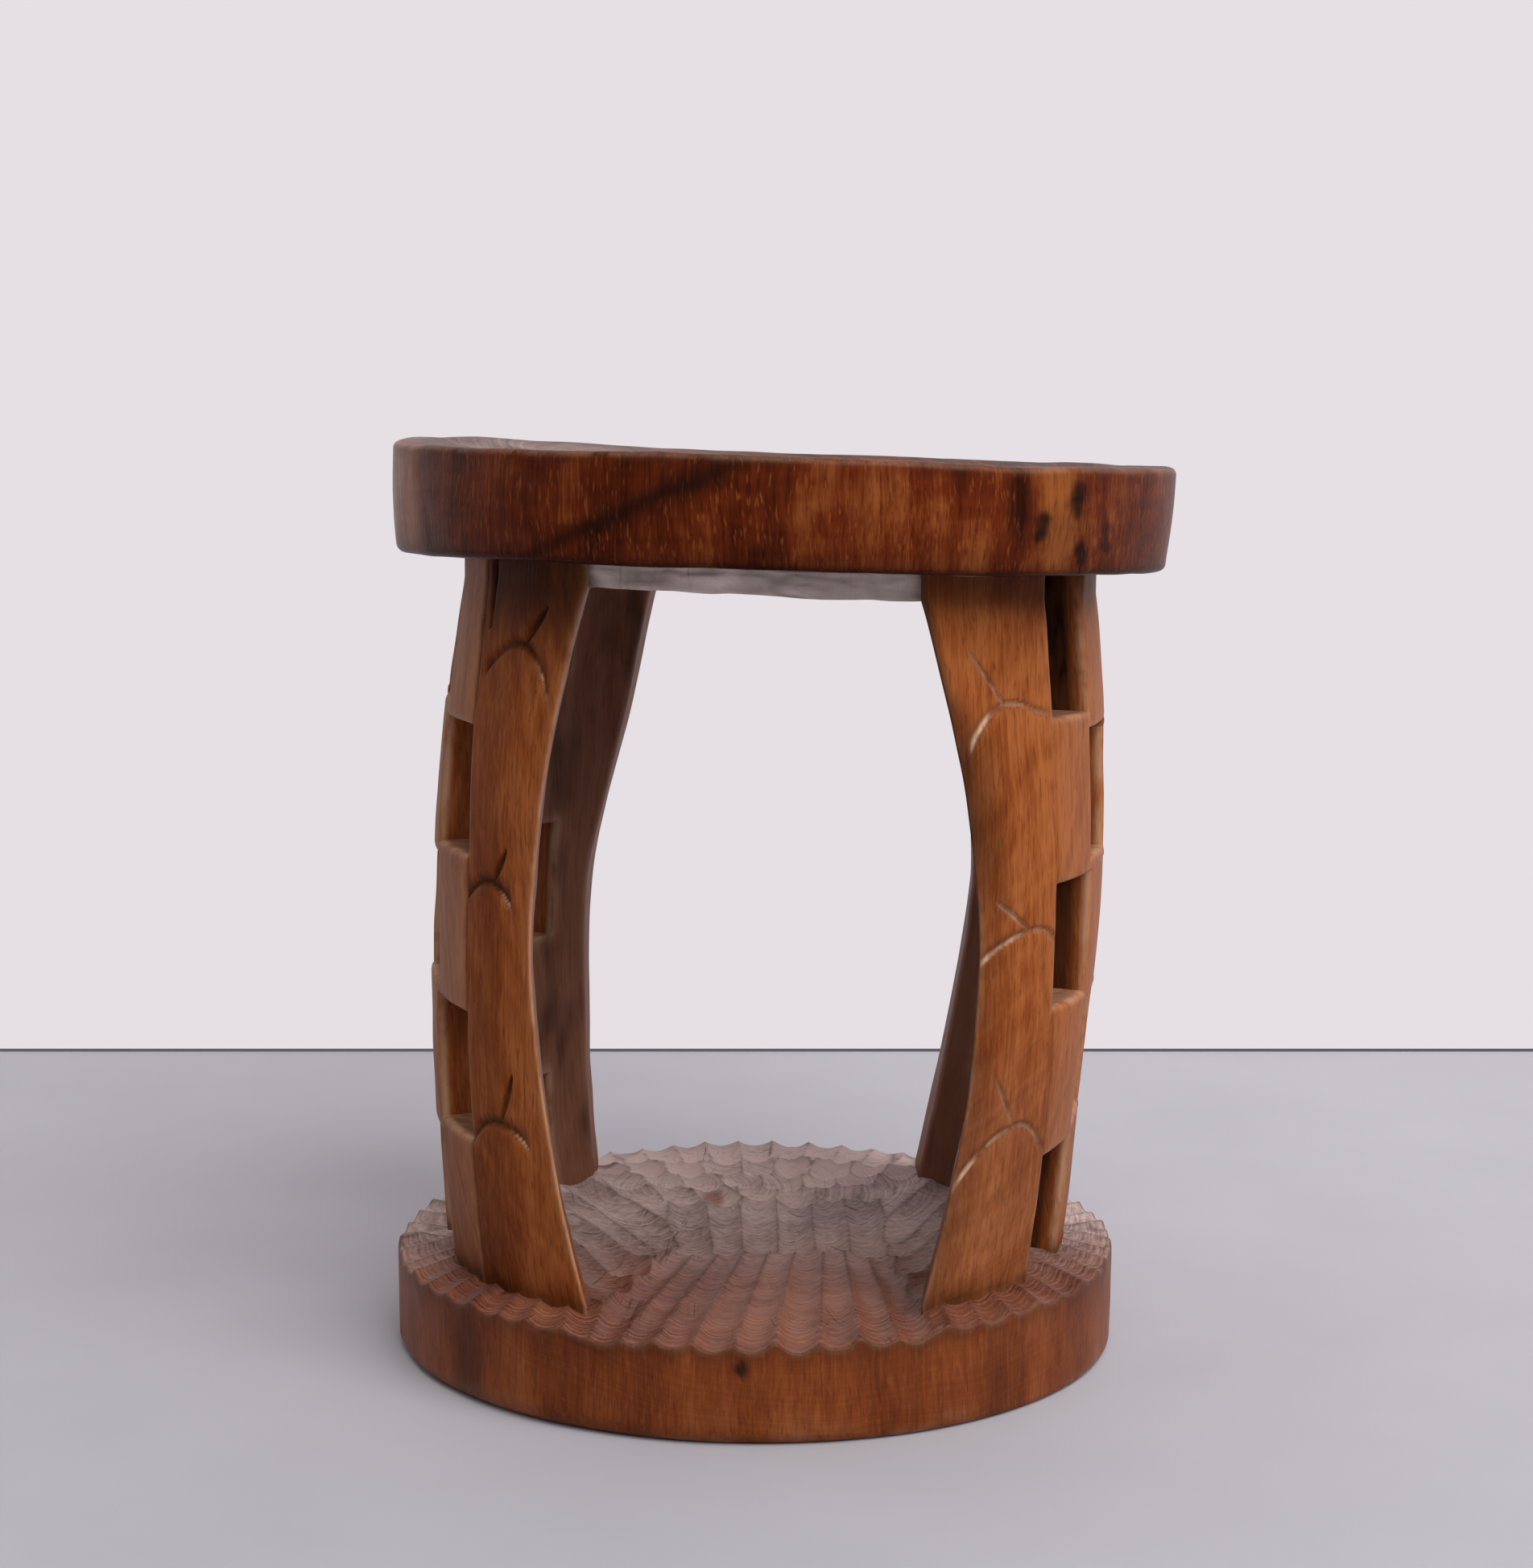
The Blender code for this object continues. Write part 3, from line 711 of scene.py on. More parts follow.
    # On the left the window columns are greyed as a painted sheen.
    dry = 0.34 * (u > 1) if side < 0 else 0.16 * (1 - smooth_step(z, 0.11, 0.17))
    deep = smooth_step(depth, 0.002, 0.010) * ~sill
    shade = (0.82 if side > 0 else 0.10) + 0.4 * smooth_step(z.ravel()[on_edge], 0.29, 0.33)
    shade = np.repeat(shade, len(share)) * deep * ~by_arch
    blots = 0.6 * smooth_step(two_noises(hide_points, (40, 40, 16), (130, 130, 55), 35), 0.05, 0.85)
    worn = np.maximum(rubbed, pale)
    masks = {
        "edge": (worn, 0.4 * np.exp(-inner_reach / 0.003), 0.3 * np.exp(-depth / 0.0013)),
        "hollow": (np.maximum(dirt, corner), none, 0.15 * deep * ~by_arch),
        "dry": (dry, none, 0.75 * sill),
        "inner": (none, none + 1, 0.15 * deep),
        "stain": (smoke_and_shade, blots, shade),
        # The right legs' inner faces are painted lighter than the left ones, as light falls on them.
        "light": (leg_light(side, u, z), none + (1.0 if side > 0 else 0.4), 0 * depth),
        "end": (none, none, 1.0 * sill),
    }
    points = np.concatenate([outer_points, inner_points, between])
    used, faces = np.unique(faces, return_inverse=True)
    points = settle(hand_worked(points[used], 0.0006), sizes)
    masks = {
        name: np.concatenate([np.ravel(layer) for layer in layers])[used]
        for name, layers in masks.items()
    }
    return points, faces.reshape(-1, 4).tolist(), masks


# Base


def spot(points, centre, reach):
    """Spot that is full out to 0.6 of its reach and gone at 1.5, along each axis in its own reach."""
    away = np.sqrt(np.sum(((points - np.array(centre)) / np.array(reach)) ** 2, axis=-1))
    return 1 - smooth_step(away, 0.6, 1.5)


def stained(points, stains):
    """Darkest of a list of soft spots at each point, with ragged edges from fine noise."""
    ragged = points + 0.0016 * soft_noise(points, 240, 71)[..., None]
    spots = [strength * spot(ragged, centre, reach) for centre, reach, strength in stains]
    return np.max(spots, axis=0)


def bulge(turn, degrees, width):
    """Soft bump round a rim: exp(-(d / width)^2), with d the angle from its middle in degrees."""
    away = (np.degrees(turn) - degrees + 180) % 360 - 180
    return np.exp(-((away / width) ** 2))


def gouge_strokes(sizes):
    """Strokes of the gouge: begin and stop seen from above, two depths, rise, trough and chip length.

    Rows are spread evenly between their first and last. Short, shallower strokes run out over the rim
    past the walls, turned a little towards the front or the back. A seeded draw makes them all uneven.
    """
    draw = np.random.default_rng(5)
    strokes = []
    for count, first, last, first_stop, last_stop, depths, rise, trough in GOUGE_ROWS:
        share = (np.arange(count) / (count - 1))[:, None]
        begin = np.array(first) * (1 - share) + np.array(last) * share
        stop = np.array(first_stop) * (1 - share) + np.array(last_stop) * share
        begin = begin + draw.uniform(-0.0018, 0.0018, begin.shape)
        stop = stop + draw.uniform(-1, 1, stop.shape) * (0.0018, 0.0065)
        cut = np.array(depths) * draw.uniform(0.85, 1.2, (count, 1))
        chip = draw.uniform(*CHIP_LENGTHS, count)
        ends = np.full((count, 2), (rise, trough))
        strokes.append(np.column_stack([begin, stop, cut, ends, chip]))
    for side in (-1, 1):
        angle = np.radians(np.linspace(25, 156, RIM_STROKES) + draw.uniform(-1.0, 1.0, RIM_STROKES))
        out, back = sizes.base_radius + 0.004, sizes.leg_radius - 0.010
        skew = np.radians(8) * np.sign(np.pi / 2 - angle)
        begin = np.stack([side * out * np.sin(angle), -out * np.cos(angle)], -1)
        stop = np.stack([side * back * np.sin(angle + skew), -back * np.cos(angle + skew)], -1)
        cut = np.array([0.0034, 0.0022]) * draw.uniform(0.75, 1.3, (RIM_STROKES, 1))
        chip = draw.uniform(*CHIP_LENGTHS, RIM_STROKES)
        ends = np.full((RIM_STROKES, 2), (0.012, 0.0115))
        strokes.append(np.column_stack([begin, stop, cut, ends, chip]))
    return np.concatenate(strokes)


def gouged_height(x, y, sizes):
    """Height of the base's top, and how dark its arrises are, with painted shade at the starts of its
    strokes.

    The uncut top is level inside the shoulder and falls by the square of the distance to a crest just
    above the rim. A stroke cuts a round trough: its floor sinks in over a short lead, goes evenly from
    one depth to the other and rises at its bowed stop as a quarter circle does, and its sides rise as
    t^2 / 2R. Along it the gouge leaves chips, a low saw of bowed steps that wobble. The top is the
    lowest of all strokes, and an arris is where the two lowest are close.
    """
    inward = sizes.base_shoulder - 0.02
    fall = np.clip((np.hypot(x, y) - inward) / (sizes.base_radius - inward), 0, 1.1)
    crest = sizes.base_rim + 0.0045
    uncut = sizes.base_top - (sizes.base_top - crest) * fall**2
    lowest, second = uncut.copy(), uncut + 0.004
    lead, chip_height = 0.014, 0.00025
    stroke_shade = np.zeros_like(x)
    wobble = soft_noise(np.stack([x, y, 0 * x], -1), 80, 26)
    for begin_x, begin_y, stop_x, stop_y, depth, stop_depth, rise, trough, chip in gouge_strokes(sizes):
        run = np.array([stop_x - begin_x, stop_y - begin_y])
        length = np.hypot(*run)
        along = ((x - begin_x) * run[0] + (y - begin_y) * run[1]) / length
        aside = ((x - begin_x) * run[1] - (y - begin_y) * run[0]) / length
        past = np.clip((along + aside**2 / 0.024 - length + rise) / rise, 0, 1)
        deep = depth + (stop_depth - depth) * np.clip(along / length, 0, 1)
        deep = deep * np.clip(1 + along / lead, 0, 1)
        floor = uncut - deep * np.sqrt(np.maximum(1 - past**2, 0))
        floor = floor + np.where((along > length) | (along < -lead), 0.02, 0)
        bow = np.sign(depth - stop_depth)
        saw = ((along - bow * aside**2 / 0.016) / chip + wobble) % 1
        cut = floor + aside**2 / (2 * trough) + chip_height * (saw if bow > 0 else 1 - saw)
        second = np.minimum(second, np.maximum(lowest, cut))
        # Strokes that deepen towards their stop are painted in shade near their start.
        started = (1 - np.clip(along / length, 0, 1)) ** 2 * (bow < 0)
        stroke_shade = np.where(cut < lowest, started, stroke_shade)
        lowest = np.minimum(lowest, cut)
    arris = np.exp(-(second - lowest) / 0.0006)
    return lowest, np.maximum(0.9 * arris, 0.55 * stroke_shade)


def gouged_base(sizes):
    """The base as rings from the middle of the gouged top out over the rim, down the side and under.

    A ring's radius is a share of the rim's, which waves by hand. Top rings take the gouged height,
    side rings run evenly from the cut rim down to a round at the floor, larger at the front left.
    """
    around, tops, drops, lip = 640, 128, 16, 0.0012
    turn, cos, sin, circle = turned_ring(around)
    broad, fine = 0.0035 * soft_noise(circle, 1.3, 21), 0.0014 * soft_noise(circle, 6, 22)
    rim = sizes.base_radius * (1 + broad + fine)

    radius = even_steps(tops) * (rim - lip)
    x, y = radius * cos, radius * sin
    # The second value darkens arrises and paints shade at the starts of strokes.
    height, arris = gouged_height(x, y, sizes)
    top = np.stack([x, y, height], -1)
    top[..., 2] += 0.00016 * soft_noise(top, 240, 30) + 0.0003 * soft_noise(top, 90, 31)

    bend = np.radians([30, 60, 90])[:, None]
    edge_r, edge_z = rim - lip * (1 - np.sin(bend)), top[-1, :, 2] - lip * (1 - np.cos(bend))
    foot = 0.0035 + 0.0045 * bulge(turn, 238, 42)
    down = even_steps(drops)
    side_z = edge_z[-1] * (1 - down) + foot * down
    uneven = np.stack(np.broadcast_arrays(9 * cos, 9 * sin, 2 * down), -1)
    side_r = rim + 0.0005 * soft_noise(uneven, 1, 25)
    under_r, under_z = rim - foot * (1 - np.cos(bend)), foot * (1 - np.sin(bend))
    flat_r = np.linspace(1, 0, 5)[1:-1, None] * (rim - foot)
    ring_r = np.concatenate([edge_r, side_r, under_r, flat_r])
    ring_z = np.concatenate([edge_z, side_z, under_z, 0 * flat_r])
    points = np.concatenate([top, np.stack([ring_r * cos, ring_r * sin, ring_z], -1)])

    # Masks: rubbed rims, dark arrises and smoked bands, darkening where the top meets the walls, and the
    # dry top with its one patch where the grey is rubbed off. The top greys towards the back, partly dry
    # wood and partly painted sheen, and is painted lighter there as sheen.
    zero, rims = np.zeros((len(points), around)), slice(tops, tops + len(bend))
    edge, dry, hollow, stain, light, end = (zero.copy() for _ in range(6))
    scuffed = smooth_step(soft_noise(points[tops:], (60, 60, 140), 27), -0.5, 0.6)
    edge[tops:] = 0.5 * np.exp(-points[tops:, :, 2] / 0.005) * scuffed
    edge[rims] = 0.12
    # The top greys from front to back: dry wood, with painted sheen towards the back.
    front = smooth_step(-y, -0.03, 0.09)
    dry[:tops] = (1 - 0.88 * front) * (1 - 0.75 * spot(top, *BARE_PATCH))
    dry[rims] = np.array([0.8, 0.5, 0.2])[:, None] * dry[tops - 1]
    by_wall = np.exp(-np.abs(np.hypot(x, y) - sizes.leg_radius + sizes.leg_thickness / 2) / 0.014)
    walled = by_wall * (np.abs(x) > sizes.front_arch_foot / 2 - 0.008)
    hollow[:tops] = np.maximum(arris, 0.3 * walled)
    below = edge_z[-1] - points[tops:, :, 2]
    stain[tops:] = 0.55 * np.exp(-np.maximum(below, 0) / 0.004)
    stain = np.maximum(stain, stained(points, BASE_STAINS))
    # The top is painted lighter towards the back, as sheen.
    light[:tops] = smooth_step(y, -0.03, 0.12)
    end[:tops] = 1
    return turned_piece(points, dict(zip(MASKS, (edge, hollow, dry, zero, stain, light, end))))


# Seat


def dished_seat(sizes):
    """The seat as rings from the middle of its dish over the rim, down the side and in to the boss.

    The dish sinks by depth x (1 - share^2.4) below the lip, whose unevenness fades with share^2
    towards the middle, and the rim's edges are quarter-rounds. The side draws in towards its lower
    edge. Below it a flat overhang runs in to the hewn boss, which is set back between the tops of the
    walls. The rim's top rises at the far left, and its lower edge hangs at the left, as the log was
    cut.
    """
    around = 560
    turn, cos, sin, circle = turned_ring(around)
    underside = sizes.leg_foot + sizes.leg_length + 0.0003
    low = underside + sizes.seat_boss - 0.0006 - 0.0034 * bulge(turn, 183, 48)
    high = underside + sizes.seat_boss + sizes.seat_rim + 0.0006 * soft_noise(circle, 5, 42)
    high = high + 0.0032 * bulge(turn, 158, 34) - 0.0014 * bulge(turn, 212, 30)
    high = high - 0.0012 * bulge(turn, 312, 24)
    rim = sizes.seat_radius + 0.0008 * soft_noise(circle, 2.2, 43)
    taper, boss = 0.0016 + 0.0008 * bulge(turn, 0, 70), sizes.leg_radius - 0.003
    arched = smooth_step(sizes.front_arch_top / 2 + 0.016 - np.abs(boss * cos), 0, 0.008)
    boss = boss - 0.018 * (1 - arched)
    upper_round, lower_round = 0.0030, 0.0032 + 0.0012 * bulge(turn, 190, 60)

    bend = np.radians(90 * even_steps(8))
    share, lip, down, inward, drop = (even_steps(count) for count in (56, 4, 28, 9, 7))
    middle = np.linspace(1, 0, 15)[1:-1, None]
    brim, dish = rim - upper_round, rim - sizes.seat_lip
    side_low, level = rim - taper, np.mean(high)
    parts = {
        "dish": (
            share * dish, level + (high - level) * share**2 - sizes.seat_dish * (1 - share**2.4)
        ),
        "lip": (dish + (brim - dish) * lip, high + 0 * lip),
        "upper round": (brim + upper_round * np.sin(bend), high - upper_round * (1 - np.cos(bend))),
        "side": (
            rim - taper * down + 0.0007 * np.sin(np.pi * down),
            (high - upper_round) * (1 - down) + (low + lower_round) * down,
        ),
        "lower round": (
            side_low - lower_round * (1 - np.cos(bend)), low + lower_round * (1 - np.sin(bend))
        ),
        "overhang": ((side_low - lower_round) * (1 - inward) + boss * inward, low + 0 * inward),
        "boss side": (boss - 0.002 * drop, low * (1 - drop) + underside * drop),
        "boss": ((boss - 0.002) * middle, underside + 0 * (boss * middle)),
    }
    ring_r, ring_z = (np.concatenate(rings) for rings in zip(*parts.values()))
    part = np.repeat(list(parts), [len(radius) for radius, _ in parts.values()])[:, None]
    side = np.isin(part, ("upper round", "side", "lower round"))
    under = np.isin(part, ("overhang", "boss side", "boss"))
    points = np.stack([ring_r * cos, ring_r * sin, ring_z], -1)
    hewn = two_noises(points, (45, 45, 260), (110, 110, 500), 51)
    points[..., 2] += np.where(under, 0.0008, 0) * hewn
    points[..., :2] *= 1 + np.where(part == "boss side", 0.010, 0)[..., None] * hewn[..., None]
    shift = np.array([0.0015, 0, 0])
    below, above = ring_z - low, high - ring_z
    points = settle(hand_worked(points, 0.0005) + shift, sizes)

    # Masks: rubbed rim, dry underside, the left end greyed and lightened as painted sheen and the lip's
    # far left greyed as painted reflection, dark figure, lower edge and knots, the right of the side
    # painted lighter, and painted shade under the overhang and behind the boss.
    x, y, z = np.moveaxis(points, -1, 0)
    edge = 0.4 * np.exp(-((np.abs(above - 0.0010) / 0.0014) ** 2)) * (part == "upper round")
    # The left end is greyed and lightened as a painted sheen.
    left = bulge(turn, 184, 26) * side * (0.3 + 0.7 * smooth_step(-y, -0.05, 0.02))
    outward = smooth_step(ring_r / dish, 0.45, 1.0)
    on_top = np.isin(part, ("dish", "lip"))
    dry = np.where(under, 0.9 * arched, 0.30 * left)
    # The lip's far left is greyed as a painted reflection.
    dry = np.where(on_top, 0.35 * outward * bulge(turn, 150, 40), dry)
    slant = z - 0.362 - 0.44 * (x + 0.0856) + 0.0025 * soft_noise(points, 60, 61)
    figure = 0.85 * np.exp(-((slant / 0.0050) ** 2))
    figure = figure * smooth_step(-y, 0.10, 0.14) * smooth_step(0.012 - x, 0, 0.03)
    rubbed = 0.85 * np.exp(-np.maximum(below, 0) / 0.0055) + 0.35 * np.exp(-np.maximum(above, 0) / 0.004)
    stain = np.maximum(np.maximum(figure, rubbed * side), stained(points, SEAT_STAINS) * side)
    # Under the seat, away from the arches, the underside is darkened as painted shade.
    stain = np.where(under, 0.9 * (1 - arched), stain)
    stain = np.where(part == "dish", 0.30 * np.exp(-(((ring_r - dish) / 0.012) ** 2)), stain)
    # The overhang's underside takes painted shade.
    hollow = np.where(part == "overhang", 0.5, 0)
    streaks = smooth_step(soft_noise(points, (150, 150, 8), 63), -0.5, 0.5)
    # The side is painted lighter towards the right: partly its pale streaks, partly light falling from
    # that side.
    right = smooth_step(x, 0.03, 0.12) * (1 - 0.5 * smooth_step(x, 0.145, 0.165))
    right = right * smooth_step(-y, 0.02, 0.06)
    light = np.maximum(side * right * (0.12 + 0.44 * streaks), left)
    light = np.where(np.isin(part, ("boss side", "boss")), 0.35, light)
    light = np.where(part == "dish", 0.22 * (1 - outward), light)
    zero, end = np.zeros_like(x), 1.0 * on_top
    return turned_piece(points, dict(zip(MASKS, (edge, hollow, dry, zero, stain, light, end))))


# Finishes


def put(tree, kind, wires=None, **options):
    """One node in a tree: its options by name, and its inputs by name or number as values or sockets."""
    node = tree.nodes.new(kind)
    for option, value in options.items():
        setattr(node, option, value)
    for socket, value in (wires or {}).items():
        if isinstance(value, bpy.types.NodeSocket):
            tree.links.new(value, node.inputs[socket])
        else:
            node.inputs[socket].default_value = value
    return node


def reckon(tree, operation, *values):
    """Result socket of a sum on numbers or sockets."""
    return put(tree, "ShaderNodeMath", dict(enumerate(values)), operation=operation).outputs[0]


def vector_sum(tree, operation, first, second):
    """Result socket of a sum on two vectors or sockets."""
    return put(tree, "ShaderNodeVectorMath", {0: first, 1: second}, operation=operation).outputs[0]


def weighed(tree, values, weights, total):
    """A starting total plus each named value times its weight."""
    for name, weight in weights.items():
        total = reckon(tree, "MULTIPLY_ADD", values[name], weight, total)
    return total


def span(tree, value, low, high, to_low=0.0, to_high=1.0):
    """A value moved from one range to another, and held there."""
    wires = {0: value, 1: low, 2: high, 3: to_low, 4: to_high}
    return put(tree, "ShaderNodeMapRange", wires, clamp=True).outputs[0]


def opaque(colour):
    """A colour with full alpha, or a socket as it is."""
    return colour if isinstance(colour, bpy.types.NodeSocket) else (*colour[:3], 1.0)


def tint(tree, share, first, second):
    """Two colours mixed by a share."""
    wires = {0: share, 6: opaque(first), 7: opaque(second)}
    return put(tree, "ShaderNodeMix", wires, data_type="RGBA").outputs[2]


def cloud(tree, vector, scale, detail):
    """Outputs of noise that is the same along each axis: its value, then its colour."""
    wires = {"Vector": vector, "Scale": scale, "Detail": detail}
    return put(tree, "ShaderNodeTexNoise", wires).outputs


def stretched_noise(tree, vector, scale, detail, roughness=0.55):
    """Noise on a vector that is stretched along each axis."""
    scaled = put(tree, "ShaderNodeMapping", {"Vector": vector, "Scale": scale}).outputs[0]
    wires = {"Vector": scaled, "Scale": 1.0, "Detail": detail, "Roughness": roughness}
    return put(tree, "ShaderNodeTexNoise", wires).outputs[0]


def line_noise(tree, value, scale, roughness):
    """Noise along one value."""
    wires = {"W": value, "Scale": scale, "Detail": 3.0, "Roughness": roughness}
    return put(tree, "ShaderNodeTexNoise", wires, noise_dimensions="1D").outputs[0]


def node_group(name, inputs, outputs):
    """Empty shader node group with named sockets: the group, what it is given and what it puts out."""
    group = bpy.data.node_groups.new(name, "ShaderNodeTree")
    for socket, kind, default in inputs:
        made = group.interface.new_socket(socket, in_out="INPUT", socket_type=kind)
        made.default_value = default
    for socket, kind in outputs:
        group.interface.new_socket(socket, in_out="OUTPUT", socket_type=kind)
    return group, group.nodes.new("NodeGroupInput").outputs, group.nodes.new("NodeGroupOutput").inputs


def log_figure():
    """Figure of one log about an upright pith, each output from 0 to 1.

    Rings are noise along (distance from the pith + cone x height) / ring width. Fibre and bands are
    noise drawn out along the trunk, ripple is cross figure, pores and flecks are short dashes, patches
    are broad clouds, and checks are thin cracks that run out from the pith.
    """
    group, given, out = node_group(
        "log_figure",
        [
            ("Vector", "NodeSocketVector", (0, 0, 0)), ("Ring Width", "NodeSocketFloat", 0.0024),
            ("Ring Cone", "NodeSocketFloat", 0.03), ("Ripple Scale", "NodeSocketVector", (300, 300, 70)),
        ],
        [(name, "NodeSocketFloat") for name in FIGURE],
    )
    vector, pith, sway_reach = given["Vector"], (-0.026, 0.082, 0), (0.012, 0.012, 0.012)
    sway = vector_sum(group, "SUBTRACT", cloud(group, vector, 11.0, 2.0)[1], (0.5, 0.5, 0.5))
    swayed = vector_sum(group, "ADD", vector, vector_sum(group, "MULTIPLY", sway, sway_reach))
    from_pith = vector_sum(group, "SUBTRACT", swayed, pith)
    x, y, z = put(group, "ShaderNodeSeparateXYZ", {0: from_pith}).outputs
    radius = reckon(group, "SQRT", reckon(group, "MULTIPLY_ADD", x, x, reckon(group, "MULTIPLY", y, y)))
    coned = reckon(group, "MULTIPLY_ADD", z, given["Ring Cone"], radius)
    rings = line_noise(group, reckon(group, "DIVIDE", coned, given["Ring Width"]), 1.0, 0.6)
    ripple = cloud(group, vector_sum(group, "MULTIPLY", swayed, given["Ripple Scale"]), 1.0, 3.0)[0]
    crack = line_noise(group, reckon(group, "ARCTAN2", y, x), 7.0, 0.7)
    crack = reckon(group, "ABSOLUTE", reckon(group, "SUBTRACT", crack, 0.5))
    crack = span(group, crack, 0.0, 0.006, 1.0, 0.0)
    opened = span(group, stretched_noise(group, vector, (45, 45, 30), 2.0), 0.52, 0.60)
    results = {
        "Rings": span(group, rings, 0.3, 0.7),
        "Fibre": span(group, stretched_noise(group, swayed, (620, 620, 24), 4.0, 0.65), 0.32, 0.68),
        "Bands": span(group, stretched_noise(group, swayed, (90, 90, 8), 2.0), 0.32, 0.68),
        "Ripple": span(group, ripple, 0.32, 0.68),
        "Pores": span(group, stretched_noise(group, vector, (900, 900, 110), 1.0), 0.58, 0.70),
        "Flecks": span(group, stretched_noise(group, swayed, (800, 800, 150), 1.0), 0.60, 0.72),
        "Patches": span(group, stretched_noise(group, swayed, (26, 26, 11), 4.0), 0.35, 0.65),
        "Checks": reckon(group, "MULTIPLY", crack, opened),
    }
    for name, value in results.items():
        group.links.new(value, out[name])
    return group


def masked_colour(name, mask, second):
    """Empty group, with its sockets, for a colour that a second one covers by a mask and an amount."""
    return node_group(
        name,
        [
            ("Color", "NodeSocketColor", (1, 1, 1, 1)), ("Vector", "NodeSocketVector", (0, 0, 0)),
            (mask, "NodeSocketFloat", 0.0), ("Amount", "NodeSocketFloat", 0.5),
            (second, "NodeSocketColor", (0.5, 0.25, 0.12, 1)),
        ],
        [("Color", "NodeSocketColor")],
    )


def handled_edge():
    """Wear where hands and feet rub, and painted highlights on some cut lips: an edge mask broken up by
    noise lightens the colour.
    """
    group, given, out = masked_colour("handled_edge", "Edge", "Worn")
    broken = stretched_noise(group, given["Vector"], (90, 90, 45), 4.0, 0.6)
    share = reckon(group, "MULTIPLY", given["Edge"], span(group, broken, 0.32, 0.54))
    share = reckon(group, "MULTIPLY", share, given["Amount"])
    group.links.new(tint(group, share, given["Color"], given["Worn"]), out["Color"])
    return group


def settled_grime():
    """Dirt in cuts, darkening along arrises and where walls meet the base, and painted shade under the
    seat, in windows and at stroke starts.
    """
    group, given, out = masked_colour("settled_grime", "Hollow", "Grime")
    clouded = span(group, cloud(group, given["Vector"], 60.0, 4.0)[0], 0.30, 0.62, 0.5, 1.0)
    share = reckon(group, "MULTIPLY", given["Hollow"], clouded)
    share = reckon(group, "MULTIPLY", share, given["Amount"])
    group.links.new(tint(group, share, given["Color"], given["Grime"]), out["Color"])
    return group


def placed(tree, maker, wires):
    """Outputs of a node group, made once and used by every finish, with its inputs wired."""
    shared = bpy.data.node_groups.get(maker.__name__) or maker()
    return put(tree, "ShaderNodeGroup", wires, node_tree=shared).outputs


def blank_finish(name):
    """New material and its empty node tree."""
    finish = bpy.data.materials.new(name)
    finish.use_nodes = True
    finish.node_tree.nodes.clear()
    return finish, finish.node_tree


def show(tree, shader, kind="ShaderNodeOutputMaterial"):
    """Lead a shader to the output of its tree."""
    tree.links.new(shader, put(tree, kind).inputs[0])


